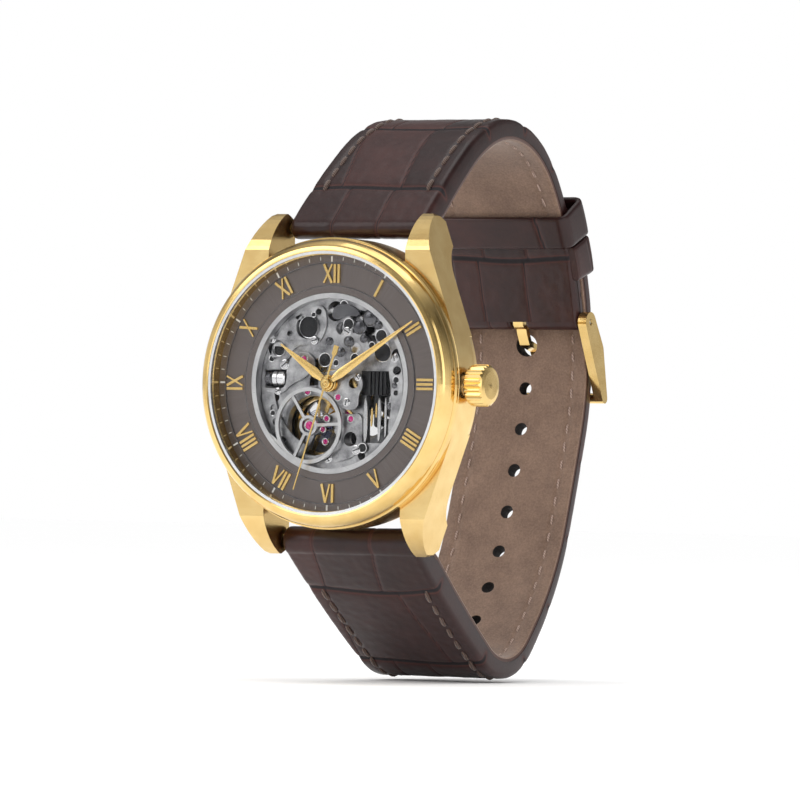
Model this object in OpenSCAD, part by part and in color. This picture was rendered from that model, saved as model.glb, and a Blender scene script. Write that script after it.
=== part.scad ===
// Automatic skeleton wristwatch on a buckled leather strap.
// World frame: +X towards the crown, +Y out of the case back, +Z towards 12 o'clock.
// The origin is the centre of the case back's outer face, on the hands' axis.

/* [Case] */
// Radius of the round case body
case_r = 20.3; // [19.5:0.1:21]
// Height of the whole watch head, case back to crystal
head_h = 11.5; // [11.3:0.1:12]
// Gap between the lugs
lug_gap = 22; // [21.6:0.1:22.4]
// Distance from the hands' axis to a lug tip
lug_tip = 23.9; // [23.6:0.1:24.4]
// Height of the spring bars above the case back
bar_h = 1.1; // [1:0.1:1.3]
// Distance from the hands' axis to a spring bar
bar_z = 22; // [21.8:0.1:22.2]

/* [Dial] */
// Height of the dial plane above the case back
dial_h = 9; // [8.9:0.05:9.1]
// Radius of the visible dial
dial_r = 17.9; // [17.5:0.1:18]
// Radius of the numerals' middle
numeral_r = 15.3; // [15:0.1:15.5]
// Height of one numeral
numeral_h = 2.6; // [2:0.1:2.8]
// Radius of the opening over the movement
opening_r = 11.9; // [11.5:0.1:12]

/* [Hands] */
// Hour hand direction, clockwise from 12
hour_at = 304.8; // [0:0.1:360]
// Minute hand direction, clockwise from 12
minute_at = 57; // [0:0.1:360]
// Seconds hand direction, clockwise from 12
second_at = 198; // [0:0.1:360]
// Length of the hour hand
hour_len = 9.6; // [8:0.1:10.5]
// Length of the minute hand
minute_len = 16.1; // [14:0.1:16.8]
// Length of the seconds hand
second_len = 15.7; // [14:0.1:16.8]

/* [Crown] */
// Crown diameter
crown_d = 5.8; // [5.6:0.1:6.4]
// Crown length
crown_l = 3; // [2.8:0.1:3.4]
// Number of flutes around the crown
crown_flutes = 24; // [20:1:36]
// Height of the crown's axis above the case back
stem_h = 5.6; // [5.5:0.05:5.7]

/* [Strap] */
// Strap width at the lugs
strap_w = 21.6; // [21:0.1:21.6]
// Strap width at the buckle
strap_end_w = 19.8; // [19:0.1:19.8]
// Thickness of the soft lining
lining_t = 0.7; // [0.5:0.1:0.9]
// Thickness of the tail of the long strap
tail_t = 2.3; // [2:0.1:2.3]
// Distance between two buckle holes
hole_pitch = 6.4; // [6:0.1:6.8]
// Radius of a buckle hole
hole_r = 1; // [0.9:0.05:1.1]

/* [Hidden] */
$fn = 72;
GOLD = [0.83, 0.68, 0.35];
STEEL = [0.78, 0.79, 0.8];
PLATE = [0.55, 0.56, 0.57];
DARK = [0.16, 0.16, 0.17];
RUBY = [0.75, 0.08, 0.3];
LEATHER = [0.24, 0.13, 0.11];
LINING = [0.56, 0.46, 0.4];
fit = 0.05;             // radial running clearance
glue = 0.06;            // glue line between a strap and its lining
eps = 0.5;              // how far a cutter runs past a face

// Heights of the layers of the movement, above the case back
plate_h = [6.4, 7.6];
rim_h = [3.5, 7.6];
bridge_h = [2.95, 3.45];
barrel_h = [4.9, 6.25];
centre_wheel_h = [4.5, 4.7];
third_wheel_h = [4.1, 4.3];
fourth_wheel_h = [3.62, 3.8];
escape_h = [4.1, 4.3];
balance_h = [4.95, 5.5];
hairspring_h = [5.75, 5.9];
ratchet_h = [3.92, 4.17];
rotor_h = [1.5, 2.5];
motion_h = [7.75, 8.0];
hour_hand_h = [9.35, 9.5];
minute_hand_h = [9.7, 9.85];
second_hand_h = [10.05, 10.17];
crystal_h = [10.6, head_h];
mid_h = [1.4, 8.4];
bezel_h = [8.45, 11.35];
plate_r = 13.2;         // outside of the movement
rim_in = 11.45;         // inside of the plate's rim

// Tooth counts and modules of the gear train
centre_n = 80;
centre_pinion_n = 12;
third_n = 75;
third_pinion_n = 10;
fourth_n = 84;
fourth_pinion_n = 10;
escape_n = 15;
escape_pinion_n = 7;
barrel_n = 80;
cannon_n = 12;
minute_n = 36;
minute_pinion_n = 10;
hour_n = 40;
ratchet_n = 40;
crown_wheel_n = 24;
winding_n = 14;
rotor_n = 30;
reverser_n = 24;
barrel_m = 0.13;
train_m = 0.1;
fourth_m = 0.1;
winding_m = 0.16;
rotor_m = 0.12;
third_dist = train_m * (centre_n + third_pinion_n) / 2;
third_m = 2 * third_dist / (third_n + fourth_pinion_n);
barrel_dist = barrel_m * (barrel_n + centre_pinion_n) / 2;
escape_dist = fourth_m * (fourth_n + escape_pinion_n) / 2;
minute_dist = train_m * (cannon_n + minute_n) / 2;
hour_m = 2 * minute_dist / (minute_pinion_n + hour_n);
crown_wheel_dist = winding_m * (ratchet_n + crown_wheel_n) / 2;
reverser_dist = rotor_m * (rotor_n + reverser_n) / 2;

// Directions, clockwise from 12, and places of the arbors as seen from the dial
function at(angle, r) = [r * sin(angle), r * cos(angle)];
function bearing(from, to) = atan2(to[0] - from[0], to[1] - from[1]);
barrel_dir = 33;
third_dir = 255;
escape_dir = 150;
minute_dir = 115;
crown_wheel_dir = 146.3;
reverser_dir = 215;
barrel_at = at(barrel_dir, barrel_dist);
third_at = at(third_dir, third_dist);
escape_at = at(escape_dir, escape_dist);
minute_wheel_at = at(minute_dir, minute_dist);
crown_wheel_at = barrel_at + at(crown_wheel_dir, crown_wheel_dist);
reverser_at = at(reverser_dir, reverser_dist);
balance_at = [-3.3, -5.9];
fork_dir = bearing(balance_at, escape_at);
fork_at = balance_at + at(fork_dir, 3);
click_at = barrel_at + at(330, 4.9);
balance_r = 4.3;
fork_reach = 2.2;

// Strap paths: arcs of [length, turn], walked along the outer surface in the Y-Z plane
bend_r = 48.5;
upper_start = [-2.1, 23, 45];
upper_arcs = [[16.5, -9], [8, -17], [24, -73], [bend_r * 26 * PI / 180, -26]];
upper_len = path_length(upper_arcs, len(upper_arcs));
bend_s = path_length(upper_arcs, 3);
bend_at = walk(upper_start, upper_arcs, bend_s);
bend_c = [bend_at[0] + bend_r * sin(bend_at[2]), bend_at[1] - bend_r * cos(bend_at[2])];
tail_gap = 0.15;
tail_r = bend_r + tail_gap + tail_t;
tail_angle = 33.6;
tail_start = [bend_c[0] + tail_r * cos(tail_angle), bend_c[1] + tail_r * sin(tail_angle), tail_angle - 90];
tail_arcs = [[tail_r * 21 * PI / 180, -21], [20, -29], [14, -2], [21.5, -28], [15.5, -77], [26, -7]];
tail_len = path_length(tail_arcs, len(tail_arcs));
upper_t = [[0, 3], [5, 3.7], [20, 3.3], [45, 2.5], [upper_len, 2.4]];
lower_t = [[0, tail_t], [55, tail_t], [85, 3], [tail_len - 5, 3.7], [tail_len, 3]];
upper_w = [[0, strap_w], [45, strap_end_w], [upper_len, strap_end_w]];
tail_w = [[0, 7], [1.5, 12], [3.5, 16.5], [6, 19], [9, strap_end_w], [70, strap_end_w], [tail_len, strap_w]];
nose_r = 1.45;
bar_r = 0.65;
bar_at = [-bar_h, bar_z];
buckle_nose_r = 1;
buckle_bar_r = 0.55;
buckle_pin_r = 0.4;
buckle_at = [bend_c[0] + (bend_r - 1.2) * cos(10), bend_c[1] + (bend_r - 1.2) * sin(10)];
crossbar_at = [51, -0.6];
crossbar_r = 0.75;
buckle_x = [10.15, 11.5];
tongue_hole_s = 25.2;
tongue_hole_r = 1.3;
tongue_w = 1.6;
holes = 8;
fixed_keeper_angles = [17.8, 24];
free_keeper_angles = [24.3, 30.6];
keeper_t = 0.9;

// ---------- frames and basic solids ----------

// Watchmaker's frame: X to 3 o'clock, Y to 12 o'clock, Z out of the dial from the case back
module face() rotate([90, 0, 0]) children();

// Side frame: X is the world's Y, Y is the world's Z, Z is the world's X
module side() rotate([90, 0, 90]) children();

module disc(r, h) translate([0, 0, h[0]]) cylinder(r = r, h = h[1] - h[0]);

module bore(r, h) disc(r, [h[0] - eps, h[1] + eps]);

module ring(r_in, r_out, h) {
    difference() {
        disc(r_out, h);
        bore(r_in, h);
    }
}

module place(p) translate([p[0], p[1], 0]) children();

// A flat bar of width w from point a to point b with round ends
module link(a, b, w, h) {
    t = bearing(a, b);
    translate([0, 0, h[0]]) linear_extrude(h[1] - h[0])
        polygon(concat([for (i = [0 : 15 : 180]) b + at(t - 90 + i, w / 2)],
            [for (i = [0 : 15 : 180]) a + at(t + 90 + i, w / 2)]));
}

// A spur wheel with one tooth centred in direction tooth_at
function tooth(n, m, i) = let (r = n * m / 2, a = 360 / n)
    [at(a * (i - 0.32), r - 1.1 * m), at(a * (i - 0.14), r + 0.9 * m),
     at(a * (i + 0.14), r + 0.9 * m), at(a * (i + 0.32), r - 1.1 * m)];

module toothed(n, m, h, tooth_at) {
    rotate([0, 0, -tooth_at]) translate([0, 0, h[0]]) linear_extrude(h[1] - h[0])
        polygon([for (i = [0 : n - 1]) each tooth(n, m, i)]);
}

// A crossed-out wheel: toothed rim, hub and arms
module wheel(n, m, h, tooth_at, arms, hub_r, axle_r) {
    rim = n * m / 2 - 5 * m;
    difference() {
        toothed(n, m, h, tooth_at);
        bore(rim, h);
    }
    difference() {
        union() {
            disc(hub_r, h);
            for (i = [0 : arms - 1]) rotate([0, 0, i * 360 / arms])
                translate([-1.6 * m, hub_r / 2, h[0]]) cube([3.2 * m, rim + m - hub_r / 2, h[1] - h[0]]);
        }
        if (axle_r > 0) bore(axle_r, h);
    }
}

// ---------- strap paths ----------

function path_length(arcs, n, i = 0) = i >= n ? 0 : arcs[i][0] + path_length(arcs, n, i + 1);

// [y, z, heading] after t along one arc
function along(p, arc, t) = let (b = p[2] + arc[1] * t / arc[0], r = arc[0] / (arc[1] * PI / 180))
    [p[0] + r * (sin(b) - sin(p[2])), p[1] - r * (cos(b) - cos(p[2])), b];

function walk(p, arcs, s, i = 0) = (i == len(arcs) - 1 || s <= arcs[i][0])
    ? along(p, arcs[i], s)
    : walk(along(p, arcs[i], arcs[i][0]), arcs, s - arcs[i][0], i + 1);

// The point at depth d under the outer surface
function under(p, d) = [p[0] + d * sin(p[2]), p[1] - d * cos(p[2])];

// Four corners of the strap's section between depths d0 and d1
function section(p, w, d0, d1) = let (a = under(p, d0), b = under(p, d1))
    [[-w / 2, a[0], a[1]], [w / 2, a[0], a[1]], [w / 2, b[0], b[1]], [-w / 2, b[0], b[1]]];

function wall(i, j) = let (a = 4 * i, k = (j + 1) % 4) [[a + j, a + 4 + j, a + 4 + k], [a + j, a + 4 + k, a + k]];

// A band that follows a path from s0 to s1; top and bottom give depths as [from_table, offset]
module band(start, arcs, s0, s1, widths, top, bottom, steps) {
    s = [for (i = [0 : steps]) s0 + (s1 - s0) * i / steps];
    points = [for (v = s) each section(walk(start, arcs, v), lookup(v, widths), top[0] * lookup(v, top[1])
        - top[2], bottom[0] * lookup(v, bottom[1]) - bottom[2])];
    sides = [for (i = [0 : steps - 1], j = [0 : 3]) each wall(i, j)];
    last = 4 * steps;
    polyhedron(points, concat(sides, [[0, 1, 2, 3], [last + 3, last + 2, last + 1, last]]));
}

// ---------- case ----------

flank_at = [13.1, 23.6];      // outer corner of a lug tip
function tangent_dir(p, r) = atan2(p[1], p[0]) - acos(r / norm(p));

module lug_plan() {
    t = tangent_dir(flank_at, case_r);
    linear_extrude(head_h + 4, center = true)
        polygon([[lug_gap / 2, 12], [lug_gap / 2, lug_tip], [flank_at[0] - 0.5, lug_tip], flank_at,
            [case_r * cos(t), case_r * sin(t)], [17.5, 5], [14, 5]]);
}

// Side outline of a lug, as [height, distance from the axis]: arched front, round tip, hollow back
function lug_front() = [for (a = [0 : 6 : 66]) [8.35 - 9.4 * (1 - cos(a)), 15.4 + 9.4 * sin(a)]];
function lug_back() = [for (a = [0 : 8 : 48]) [2.8 - 4.2 * (1 - cos(a)) * 1.6, 15.2 + 5.6 * sin(a) * 1.02]];

module lug_side() {
    rotate([0, 90, 0]) mirror([1, 0, 0]) linear_extrude(2 * case_r, center = true)
        polygon(concat([[8.35, 5]], lug_front(), [[1.7, 23.55], [0.6, 22.9]],
            [for (i = [len(lug_back()) - 1 : -1 : 0]) lug_back()[i]], [[2.8, 5]]));
}

module lug() {
    intersection() {
        lug_plan();
        lug_side();
    }
}

module case_body() {
    rotate_extrude()
        polygon([[17, mid_h[0]], [18.9, mid_h[0]], [19.6, 1.8], [case_r - 0.1, 2.8], [case_r, 3.6],
            [case_r, mid_h[1] - 0.2], [case_r - 0.2, mid_h[1]], [17, mid_h[1]]]);
}

module case_middle() color(GOLD) face() difference() {
    union() {
        case_body();
        for (mx = [0, 1], my = [0, 1]) mirror([mx, 0, 0]) mirror([0, my, 0]) lug();
    }
    bore(17, [0, mid_h[1]]);
    translate([0, 0, stem_h]) rotate([0, 90, 0]) cylinder(r = 1.6, h = 30);
    for (k = [-1, 1]) {
        translate([0, k * bar_z, bar_h]) rotate([0, 90, 0]) cylinder(r = 0.45, h = lug_gap + 2.2, center = true);
        translate([0, k * bar_z, bar_h]) rotate([0, 90, 0]) cylinder(r = 1.85, h = lug_gap, center = true);
    }
}

module bezel() color(GOLD) face() rotate_extrude()
    polygon(concat([[19, bezel_h[0]], [case_r + 0.05, bezel_h[0]], [case_r + 0.05, 8.85], [case_r - 0.15, 9]],
        [for (a = [0 : 10 : 70]) [18.5 + 1.6 * cos(a), 9.1 + 2.3 * sin(a)]],
        [[18.6, bezel_h[1]], [18.4, 11.3], [18.4, 10.6], [19, 10.6]]));

module crystal() color([0.8, 0.9, 0.95, 0.3]) face() rotate_extrude()
    polygon([[0, crystal_h[0]], [18, crystal_h[0]], [18, crystal_h[1] - 0.25], [dial_r - 0.15, crystal_h[1]],
        [0, crystal_h[1]]]);

module crystal_gasket() color([0.9, 0.9, 0.92]) face() ring(18, 18.38, [crystal_h[0], 11.25]);

module rehaut() color(GOLD) face() ring(dial_r, 18.95, [dial_h + 0.02, crystal_h[0] - 0.02]);

module case_back() color(GOLD) face() difference() {
    union() {
        ring(13.6, 18.6, [0, mid_h[0]]);
        ring(15.4, 16.95, [mid_h[0], 2.4]);
    }
    bore(14.1, [0.3 + eps, 3]);
    for (i = [0 : 5]) rotate([0, 0, i * 60 + 30]) translate([17.4, 0, -eps]) cylinder(r = 0.8, h = 0.4 + eps);
}

module case_back_glass() color([0.8, 0.9, 0.95, 0.3]) face() disc(14.05, [0.32, 1.3]);

module case_back_gasket() color(DARK) face() translate([0, 0, 1.9]) rotate_extrude()
    translate([15.1, 0]) circle(r = 0.28, $fn = 16);

module spring_bars() color(STEEL) face() for (k = [-1, 1])
    translate([0, k * bar_z, bar_h]) rotate([0, 90, 0]) {
        cylinder(r = bar_r, h = lug_gap - 0.4, center = true);
        cylinder(r = 0.4, h = lug_gap + 1.8, center = true);
    }

// ---------- dial and hands ----------

module dial_ring() color([0.34, 0.32, 0.31]) face() rotate_extrude()
    polygon([[12.65, 8.45], [18.4, 8.45], [18.4, dial_h], [16.85, dial_h], [16.85, dial_h - 0.1],
        [13.6, dial_h - 0.1], [13.6, dial_h], [12.65, dial_h]]);

window_r = [4.8, 5.34];      // ring over the balance
hub_r = [1, 1.42];           // ring round the balance's dial-side jewel

module skeleton_rim() color(STEEL) face() {
    ring(opening_r, 12.6, [7.7, dial_h + 0.05]);
    ring(opening_r, 13.2, [7.7, 8.2]);
    place(balance_at) {
        ring(window_r[0], window_r[1], [8.55, dial_h]);
        ring(hub_r[0], hub_r[1], [8.55, dial_h]);
        for (a = [-33, 87, 207]) rotate([0, 0, -a]) translate([-0.22, 1.2, 8.6])
            cube([0.44, 3.75, dial_h - 8.65]);
    }
    translate([0, 0, 8.55]) linear_extrude(0.4) intersection() {
        difference() {
            circle(r = opening_r + 0.3);
            translate(balance_at) circle(r = window_r[1] - 0.2);
        }
        translate([-8.9, -8.2]) rotate(-37) square([3.6, 1.1], center = true);
    }
}

module stroke(a, b, w) {
    d = (b - a) / norm(b - a);
    n = [-d[1], d[0]] * w / 2;
    polygon([a - n, b - n, b + n, a + n]);
}

// Numeral glyphs as strokes: [from, to, width], in a box numeral_h high
function glyph_i(x) = [[[x, 0], [x, numeral_h], 0.36]];
function glyph_v(x) = [[[x + 0.65, 0], [x, numeral_h], 0.36], [[x + 0.65, 0], [x + 1.3, numeral_h], 0.24]];
function glyph_x(x) = [[[x + 1.3, 0], [x, numeral_h], 0.36], [[x, 0], [x + 1.3, numeral_h], 0.24]];
i_step = 0.62;
v_step = 1.75;
function numeral(n) =
    n <= 4 ? [for (i = [0 : n - 1]) each glyph_i(i * i_step)] :
    n <= 8 ? concat(glyph_v(0), n == 5 ? [] : [for (i = [0 : n - 6]) each glyph_i(v_step + i * i_step)]) :
    n == 9 ? concat(glyph_i(0), glyph_x(0.45)) :
    concat(glyph_x(0), n == 10 ? [] : [for (i = [0 : n - 11]) each glyph_i(v_step + i * i_step)]);
function numeral_w(n) = n <= 4 ? (n - 1) * i_step : n <= 8 ? max(1.3, v_step + (n - 6) * i_step) :
    n == 9 ? v_step : max(1.3, v_step + (n - 11) * i_step);

module hour_numerals() color(GOLD) face() for (n = [1 : 12]) {
    flip = n >= 4 && n <= 8 ? 180 : 0;
    rotate([0, 0, -30 * n]) translate([0, numeral_r, dial_h - 0.1]) rotate([0, 0, flip])
        translate([-numeral_w(n) / 2, -numeral_h / 2, 0]) linear_extrude(0.25)
            for (s = numeral(n)) stroke(s[0], s[1], s[2]);
}

module hand(angle, len, tail, w, h, collar_r, axle_r) {
    rotate([0, 0, -angle]) difference() {
        union() {
            translate([0, 0, h[0]]) linear_extrude(h[1] - h[0])
                polygon([[-0.28, -tail], [-w / 2, 1.9], [-0.16, len], [0.16, len], [w / 2, 1.9], [0.28, -tail]]);
            disc(collar_r, [h[0], h[1] + 0.05]);
        }
        bore(axle_r, h);
    }
}

module hour_hand() color(GOLD) face() hand(hour_at, hour_len, 0, 1.3, hour_hand_h, 1.25, 0.9);

module minute_hand() color(GOLD) face() hand(minute_at, minute_len, 0, 1.25, minute_hand_h, 1.05, 0.55);

module seconds_hand() color(GOLD) face() rotate([0, 0, -second_at]) {
    h = second_hand_h;
    translate([0, 0, h[0]]) linear_extrude(h[1] - h[0])
        polygon([[-0.16, -5.4], [-0.1, second_len], [0.1, second_len], [0.16, -5.4]]);
    translate([-0.38, -5.5, h[0]]) cube([0.76, 1.1, h[1] - h[0]]);
    disc(0.7, [h[0], h[1] + 0.18]);
    disc(0.24, [9.4, h[1]]);
}

// ---------- movement frame ----------

module movement_ring() color(STEEL) face() difference() {
    ring(13.25, 16.95, [2.9, 8.4]);
    translate([0, 0, stem_h]) rotate([0, 90, 0]) cylinder(r = 0.85, h = 30);
}

// A screw's place is [x, y]; the bridges are held by screws into the plate's rim
bridge_screws = [for (a = [20, 75, 100, 140, 165, 250, 285, 330]) at(a, 12.3)];
plate_windows = [[-4.4, 7.9, 1.75], [0, 10.1, 1.4], [1, 7.7, 0.9], [-9.6, 4.9, 1.2], [-9.4, -2, 0.55],
    [-10.6, -3.5, 0.45], [-10, -5.6, 0.45], [2.9, -7.7, 1], [-2.6, 9.9, 0.5], [-5.9, 9.1, 0.6],
    [-7.2, 7.3, 0.45], [4.6, -10, 0.6], [-8.1, -8.1, 0.5], [-2.2, 2.6, 1.1], [9.9, 4.1, 0.8]];

module window_arc(p, r_in, r_out, a0, a1, h) {
    place(p) translate([0, 0, h[0] - eps]) rotate([0, 0, 90 - a1])
        rotate_extrude(angle = a1 - a0) translate([r_in, 0]) square([r_out - r_in, h[1] - h[0] + 2 * eps]);
}

module main_plate() color(PLATE) face() difference() {
    union() {
        difference() {
            rotate_extrude() polygon([[0.85, plate_h[0]], [rim_in, plate_h[0]], [rim_in, rim_h[0]],
                [plate_r, rim_h[0]], [plate_r, plate_h[1]], [0.85, plate_h[1]]]);
            for (w = plate_windows) place(w) bore(w[2], plate_h);
            place(balance_at) bore(4.2, plate_h);
            window_arc(barrel_at, 2.1, 5.35, -12, 105, plate_h);
            window_arc([0, 0], 2.6, 4, 265, 300, plate_h);
            translate([5.2, -8.2, plate_h[0] - eps]) cube([5, 10, 3]);
            translate([9.2, -0.8, plate_h[0] - eps]) cube([2.4, 3.9, 3]);
            translate([-11.2, -0.7, plate_h[0] - eps]) cube([3.4, 2.6, 3]);
        }
        place(balance_at) disc(1.25, [6.45, 7.2]);
        link(balance_at, balance_at + at(fork_dir, 5), 1.5, [6.5, 7]);
        link(balance_at, balance_at + at(207, 5), 1, [6.55, 6.95]);
    }
    for (p = jewel_places) place(p) bore(0.5, plate_h);
    place(barrel_at) bore(0.8, plate_h);
    for (p = bridge_screws) place(p) disc(0.35, [3, 5]);
    along_stem(rim_in - 1) cylinder(r = 0.5 + fit, h = 4);
    place(minute_wheel_at) bore(0.3, plate_h);
}

module bridge_blank(from_angle, to_angle) {
    window_arc([0, 0], 0, 13, from_angle, to_angle, [bridge_h[0] + eps, bridge_h[1] - eps]);
}

module bridge_holes() {
    for (p = bridge_screws) place(p) bore(0.36, bridge_h);
    for (p = [third_at, escape_at, balance_at]) place(p) bore(0.45, bridge_h);
    bore(0.28, bridge_h);
}

// A post that carries a wheel or a lever
module post(p, r, h) place(p) disc(r, h);

module barrel_bridge() color(STEEL) face() {
    difference() {
        bridge_blank(-60, 114);
        bridge_holes();
        place(barrel_at) bore(0.8, bridge_h);
        window_arc(barrel_at, 2.2, 4.2, -70, 60, bridge_h);
    }
    post(click_at, 0.26, [3.4, 4.25]);
    post(crown_wheel_at, 0.55, [3.4, 4.25]);
}

module train_bridge() color(STEEL) face() difference() {
    bridge_blank(115, 180);
    bridge_holes();
    window_arc([0, 0], 5.4, 8.5, 125, 170, bridge_h);
}

module balance_cock() color(STEEL) face() {
    difference() {
        bridge_blank(181, 299);
        bridge_holes();
        window_arc(balance_at, 1.6, 4, 45, 330, bridge_h);
        window_arc([0, 0], 6.2, 10, 258, 290, bridge_h);
    }
    post(reverser_at, 0.25, [2.6, 3]);
}

// A cock with two leaves that carries both pivots of the pallet fork
module pallet_bridge() color(STEEL) face() difference() {
    n = at(fork_dir + 86, 4.3);
    union() {
        link(fork_at, fork_at + n, 0.8, [3.55, 3.9]);
        link(fork_at, fork_at + n, 0.8, [4.45, 4.75]);
        place(fork_at + n) disc(0.55, [3.6, plate_h[0]]);
    }
    place(fork_at) bore(0.25, [3.55, 4.75]);
}

jewel_places = [third_at, escape_at, balance_at];

module jewel(r_in, r_out, h) ring(r_in, r_out, h);

module plate_jewels() color(RUBY) face() {
    for (p = jewel_places) place(p) jewel(0.13, 0.49, [6.7, 7.15]);
    for (p = jewel_places) place(p) jewel(0.13, 0.44, [3, 3.4]);
    for (h = [[3.6, 3.85], [4.5, 4.7]]) place(fork_at) jewel(0.13, 0.24, h);
}

module screw(h, head_r, shank_r, shank_l) {
    difference() {
        disc(head_r, h);
        translate([0, 0, h[0]]) cube([2 * head_r + 1, 0.2, 0.3], center = true);
    }
    disc(shank_r, [h[1], h[1] + shank_l]);
}

module movement_screws() color(STEEL) face() for (p = bridge_screws) place(p)
    screw([2.6, 2.94], 0.6, 0.33, 1.6);

// ---------- power and train ----------

module barrel() color(STEEL) face() place(barrel_at) {
    difference() {
        union() {
            toothed(barrel_n, barrel_m, [5, 5.3], barrel_dir + 180 + 180 / barrel_n);
            disc(4.95, barrel_h);
        }
        disc(4.6, [barrel_h[0] + 0.2, barrel_h[1] - 0.2]);
        bore(0.7, barrel_h);
    }
}

module barrel_arbor() color(STEEL) face() place(barrel_at) {
    disc(0.65, [3.3, plate_h[0] + 0.2]);
    disc(1.2, [barrel_h[0] + 0.25, barrel_h[1] - 0.25]);
    disc(0.75, [plate_h[0] + 0.2, 7.5]);
}

// Spiral strip from r0 to r1 over a number of turns
module spiral(r0, r1, turns, t, h, steps) {
    function r(i) = r0 + (r1 - r0) * i / steps;
    inner = [for (i = [0 : steps]) at(360 * turns * i / steps, r(i) - t / 2)];
    outer = [for (i = [steps : -1 : 0]) at(360 * turns * i / steps, r(i) + t / 2)];
    translate([0, 0, h[0]]) linear_extrude(h[1] - h[0]) polygon(concat(inner, outer));
}

module mainspring() color(STEEL) face() place(barrel_at)
    spiral(1.45, 4.3, 7, 0.14, [barrel_h[0] + 0.3, barrel_h[1] - 0.3], 168);

module ratchet_wheel() color(STEEL) face() place(barrel_at) difference() {
    toothed(ratchet_n, winding_m, ratchet_h, crown_wheel_dir);
    bore(0.65, ratchet_h);
    for (a = [0 : 60 : 300]) place(at(a, 1.9)) bore(0.5, ratchet_h);
}

module crown_wheel() color(STEEL) face() place(crown_wheel_at) difference() {
    union() {
        toothed(crown_wheel_n, winding_m, ratchet_h, crown_wheel_dir + 180 + 180 / crown_wheel_n);
        for (i = [0 : crown_wheel_n - 1]) rotate([0, 0, i * 360 / crown_wheel_n])
            translate([-0.1, 1.5, 4]) cube([0.2, 0.4, 0.32]);
    }
    bore(0.6, ratchet_h);
}

module click() color(STEEL) face() difference() {
    union() {
        place(click_at) disc(0.6, ratchet_h);
        link(click_at, barrel_at + at(345, 3.75), 0.4, ratchet_h);
    }
    place(click_at) bore(0.3, ratchet_h);
}

module centre_wheel() color(GOLD) face() {
    wheel(centre_n, train_m, centre_wheel_h, third_dir, 5, 1, 0.3);
    difference() {
        union() {
            toothed(centre_pinion_n, barrel_m, [4.6, 5.5], barrel_dir);
            disc(0.45, [5.4, 8.8]);
        }
        bore(0.3, [4.5, 8.8]);
    }
}

module third_wheel() color(GOLD) face() place(third_at) {
    wheel(third_n, third_m, third_wheel_h, third_dir + 180, 4, 0.7, 0);
    toothed(third_pinion_n, train_m, [4.2, 4.8], third_dir + 180 + 180 / third_pinion_n);
    disc(0.18, [3.5, 6.35]);
    disc(0.1, [3.05, 7.1]);
}

module fourth_wheel() color(GOLD) face() {
    wheel(fourth_n, fourth_m, fourth_wheel_h, escape_dir, 4, 0.8, 0);
    toothed(fourth_pinion_n, third_m, [4.05, 4.4], third_dir + 180 / fourth_pinion_n);
    disc(0.35, [3.7, 4.2]);
    disc(0.23, [3, 9.38]);
}

module escape_wheel() color(STEEL) face() place(escape_at) {
    difference() {
        translate([0, 0, escape_h[0]]) linear_extrude(0.2)
            polygon([for (i = [0 : escape_n - 1]) each [at(24 * i, 2.1), at(24 * i + 4, 2.05),
                at(24 * i + 7, 1.6), at(24 * i + 20, 1.55)]]);
        bore(1.2, escape_h);
    }
    for (a = [0 : 90 : 270]) rotate([0, 0, a]) translate([-0.12, 0.1, escape_h[0]]) cube([0.24, 1.25, 0.18]);
    toothed(escape_pinion_n, fourth_m, [3.58, 3.95], escape_dir + 180 + 180 / escape_pinion_n);
    disc(0.25, [3.5, 6.35]);
    disc(0.1, [3.05, 7.1]);
}

module pallet_fork() color(STEEL) face() {
    h = [4.12, 4.34];
    tip = fork_at - at(fork_dir, fork_reach);
    link(fork_at, tip, 0.4, h);
    for (k = [-1, 1]) {
        link(tip, tip - at(fork_dir + k * 40, 0.35), 0.16, h);
        link(fork_at, fork_at + at(fork_dir + k * 50, 1.5), 0.34, h);
        color(RUBY) place(fork_at + at(fork_dir + k * 50, 1.5)) rotate([0, 0, -fork_dir - k * 20])
            translate([-0.1, 0.05, h[0] + 0.02]) cube([0.2, 0.32, 0.16]);
    }
    place(fork_at) disc(0.16, [3.93, 4.42]);
    place(fork_at) disc(0.1, [3.65, 4.65]);
}

module balance_wheel() color(GOLD) face() place(balance_at) {
    ring(balance_r - 0.55, balance_r, balance_h);
    for (a = [0, 90, 180, 270]) rotate([0, 0, a - 20]) translate([-0.25, 0, balance_h[0] + 0.15])
        cube([0.5, balance_r - 0.3, 0.25]);
    disc(0.7, [4.85, 5.55]);
    disc(0.25, [3.5, 6.35]);
    disc(0.6, [4.45, 4.6]);
    disc(0.1, [3.05, 7.1]);
}

module hairspring() color([0.3, 0.35, 0.6]) face() place(balance_at)
    spiral(0.5, 2.3, 8, 0.06, hairspring_h, 192);

module cannon_pinion() color(STEEL) face() difference() {
    union() {
        toothed(cannon_n, train_m, [7.65, 8.15], minute_dir);
        disc(0.5, [8.05, 9.9]);
    }
    bore(0.45, [8, 8.9]);
    bore(0.3, [7, 10]);
}

module minute_wheel() color(GOLD) face() place(minute_wheel_at) {
    wheel(minute_n, train_m, motion_h, minute_dir + 180 + 180 / minute_n, 4, 0.7, 0);
    toothed(minute_pinion_n, hour_m, [7.9, 8.45], minute_dir + 180);
    disc(0.26, [6.6, 8.4]);
}

module hour_wheel() color(GOLD) face() difference() {
    union() {
        toothed(hour_n, hour_m, [8.22, 8.42], minute_dir + 180 / hour_n);
        disc(0.86, [8.3, 9.6]);
    }
    bore(0.6, [8.2, 9.6]);
}

// ---------- self-winding work ----------

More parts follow.
